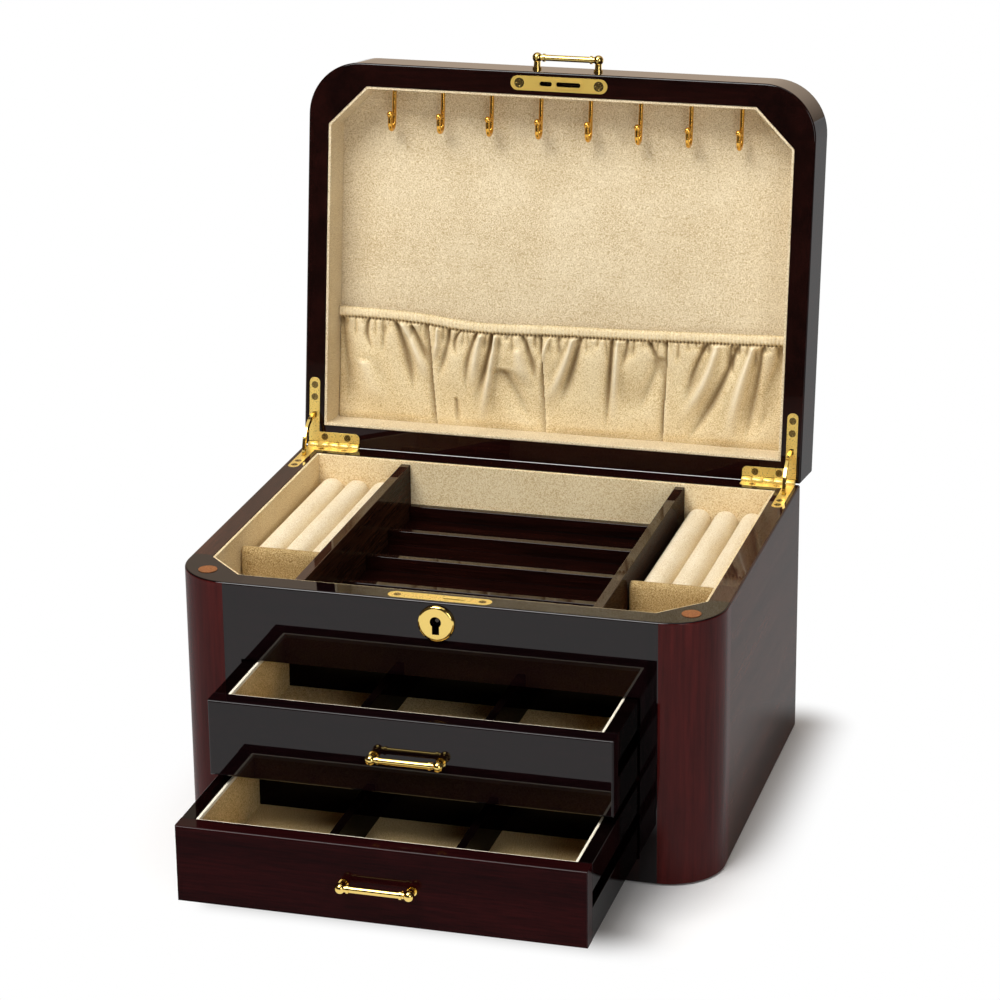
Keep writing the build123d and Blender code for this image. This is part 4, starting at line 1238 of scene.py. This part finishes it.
@dataclass
class Fittings:
    """The brass fittings: quadrant hinges with their stays, the lock and all screws."""

    plate_edge_mm: float = 0.25
    screw_edge_mm: float = 0.2
    plates: tuple[str, ...] = (
        "left_hinge_case_leaf",
        "right_hinge_case_leaf",
        "left_hinge_lid_leaf",
        "right_hinge_lid_leaf",
        "lock_face_plate",
    )
    polished: tuple[str, ...] = ("keyhole_escutcheon", "hinge_pins", "quadrant_stays")
    screws: tuple[str, ...] = ("case_screws", "lid_screws")
    steel: tuple[str, ...] = ("lock_case", "lock_pins", "hook_bolt")

    def build(self) -> None:
        """Dress the fittings."""
        for node in self.plates:
            coat(node, SATIN_BRASS, self.plate_edge_mm)
        coat("strike_plate", STRIKE_BRASS, self.plate_edge_mm)
        for node in self.polished:
            coat(node, POLISHED_BRASS)
        for node in self.screws:
            coat(node, SCREW_BRASS, self.screw_edge_mm)
        for node in self.steel:
            coat(node, STEEL)


@dataclass(frozen=True)
class SoftBox:
    """A soft studio lamp.

    Args:
        name: Name of the lamp.
        place: Middle of its front.
        size: Width and height of its front.
        watts: Power.
    """

    name: str
    place: tuple[float, float, float]
    size: tuple[float, float]
    watts: float

    def hang(self, aim: Vector) -> None:
        """Hang the lamp so that it looks at a point.

        Args:
            aim: The point.
        """
        data = bpy.data.lights.new(self.name, "AREA")
        data.shape = "RECTANGLE"
        data.size, data.size_y = self.size
        data.energy = self.watts
        lamp = bpy.data.objects.new(self.name, data)
        lamp.location = self.place
        lamp.rotation_euler = (aim - Vector(self.place)).to_track_quat("-Z", "Y").to_euler()
        bpy.context.scene.collection.objects.link(lamp)


@dataclass
class Studio:
    """The stage: a white floor, soft lamps and the camera at the photograph's place.

    The key hangs high in front on the left, the fill is weak and on the right, and the light overhead is
    broad and weak.
    """

    camera_place: tuple[float, float, float] = (0.522964, -1.832311, 0.863187)
    camera_right: tuple[float, float, float] = (0.96302039, 0.26922924, -0.01036064)
    camera_up: tuple[float, float, float] = (-0.08166237, 0.32831583, 0.94103134)
    lens_mm: float = 123.49
    sensor_mm: float = 36
    aim: tuple[float, float, float] = (0, 0, 0.15)
    lamps: tuple[SoftBox, ...] = (
        SoftBox("key_left", (-0.55, -1.1, 2.1), (1.3, 1.3), 56),
        SoftBox("fill_right", (1.6, -1.9, 1.0), (0.8, 1.2), 14),
        SoftBox("overhead", (0, 0.1, 2.2), (2.0, 2.0), 10),
    )
    floor_half: float = 4.0
    room: str = "#EED6BE"
    room_depths: tuple[float, float] = (0.45, 0.9)
    room_levels: tuple[float, float] = (0.07, 0.75)

    def build(self) -> None:
        """Set the camera, the lamps, the floor and the world."""
        self.set_camera()
        for lamp in self.lamps:
            lamp.hang(Vector(self.aim))
        self.set_floor()
        self.set_world()

    def set_camera(self) -> None:
        """Place the camera and give it the photograph's lens."""
        data = bpy.data.cameras.new("photo_camera")
        data.lens = self.lens_mm
        data.sensor_width = self.sensor_mm
        camera = bpy.data.objects.new("photo_camera", data)
        right = Vector(self.camera_right)
        up = Vector(self.camera_up)
        turn = Matrix((right, up, right.cross(up))).transposed().to_4x4()
        camera.matrix_world = Matrix.Translation(self.camera_place) @ turn
        bpy.context.scene.collection.objects.link(camera)
        bpy.context.scene.camera = camera

    def set_floor(self) -> None:
        """Lay a white floor that is plain white far from the box and takes its shadow near it."""
        half = self.floor_half
        corners = [(-half, -half, 0), (half, -half, 0), (half, half, 0), (-half, half, 0)]
        mesh = bpy.data.meshes.new("white_floor")
        mesh.from_pydata(corners, [], [(0, 1, 2, 3)])
        mesh.materials.append(PAPER.make())
        floor = bpy.data.objects.new("white_floor", mesh)
        bpy.context.scene.collection.objects.link(floor)

    def set_world(self) -> None:
        """Set the dim room around the stage, paler behind the box than in front of it."""
        world = bpy.data.worlds.new("studio_room")
        world.use_nodes = True
        tree = world.node_tree
        tree.nodes.clear()
        way = add_node(tree, "ShaderNodeTexCoord").outputs["Generated"]
        depth = add_node(tree, "ShaderNodeSeparateXYZ", {0: way}).outputs["Y"]
        near, far = self.room_depths
        dim, pale = self.room_levels
        inputs = {"Value": depth, "From Min": near, "From Max": far, "To Min": dim, "To Max": pale}
        level = add_node(tree, "ShaderNodeMapRange", inputs).outputs["Result"]
        room = add_node(tree, "ShaderNodeBackground", {"Color": linear(self.room), "Strength": level})
        add_node(tree, "ShaderNodeOutputWorld", {"Surface": room.outputs[0]})
        bpy.context.scene.world = world


def main() -> None:
    """Dress the box, build its soft pieces and set the stage."""
    logging.basicConfig(level=logging.INFO)
    bpy.context.scene.view_settings.view_transform = "Standard"
    for part in (
        CaseShell(),
        TopTray(),
        PullOutDrawer("upper_drawer", LACQUER_UPPER),
        PullOutDrawer("lower_drawer", LACQUER_LOWER),
        Fittings(),
        HingedLid(),
        Studio(),
    ):
        part.build()
        LOG.info("finished %s", type(part).__name__)


if __name__ == "__main__":
    main()
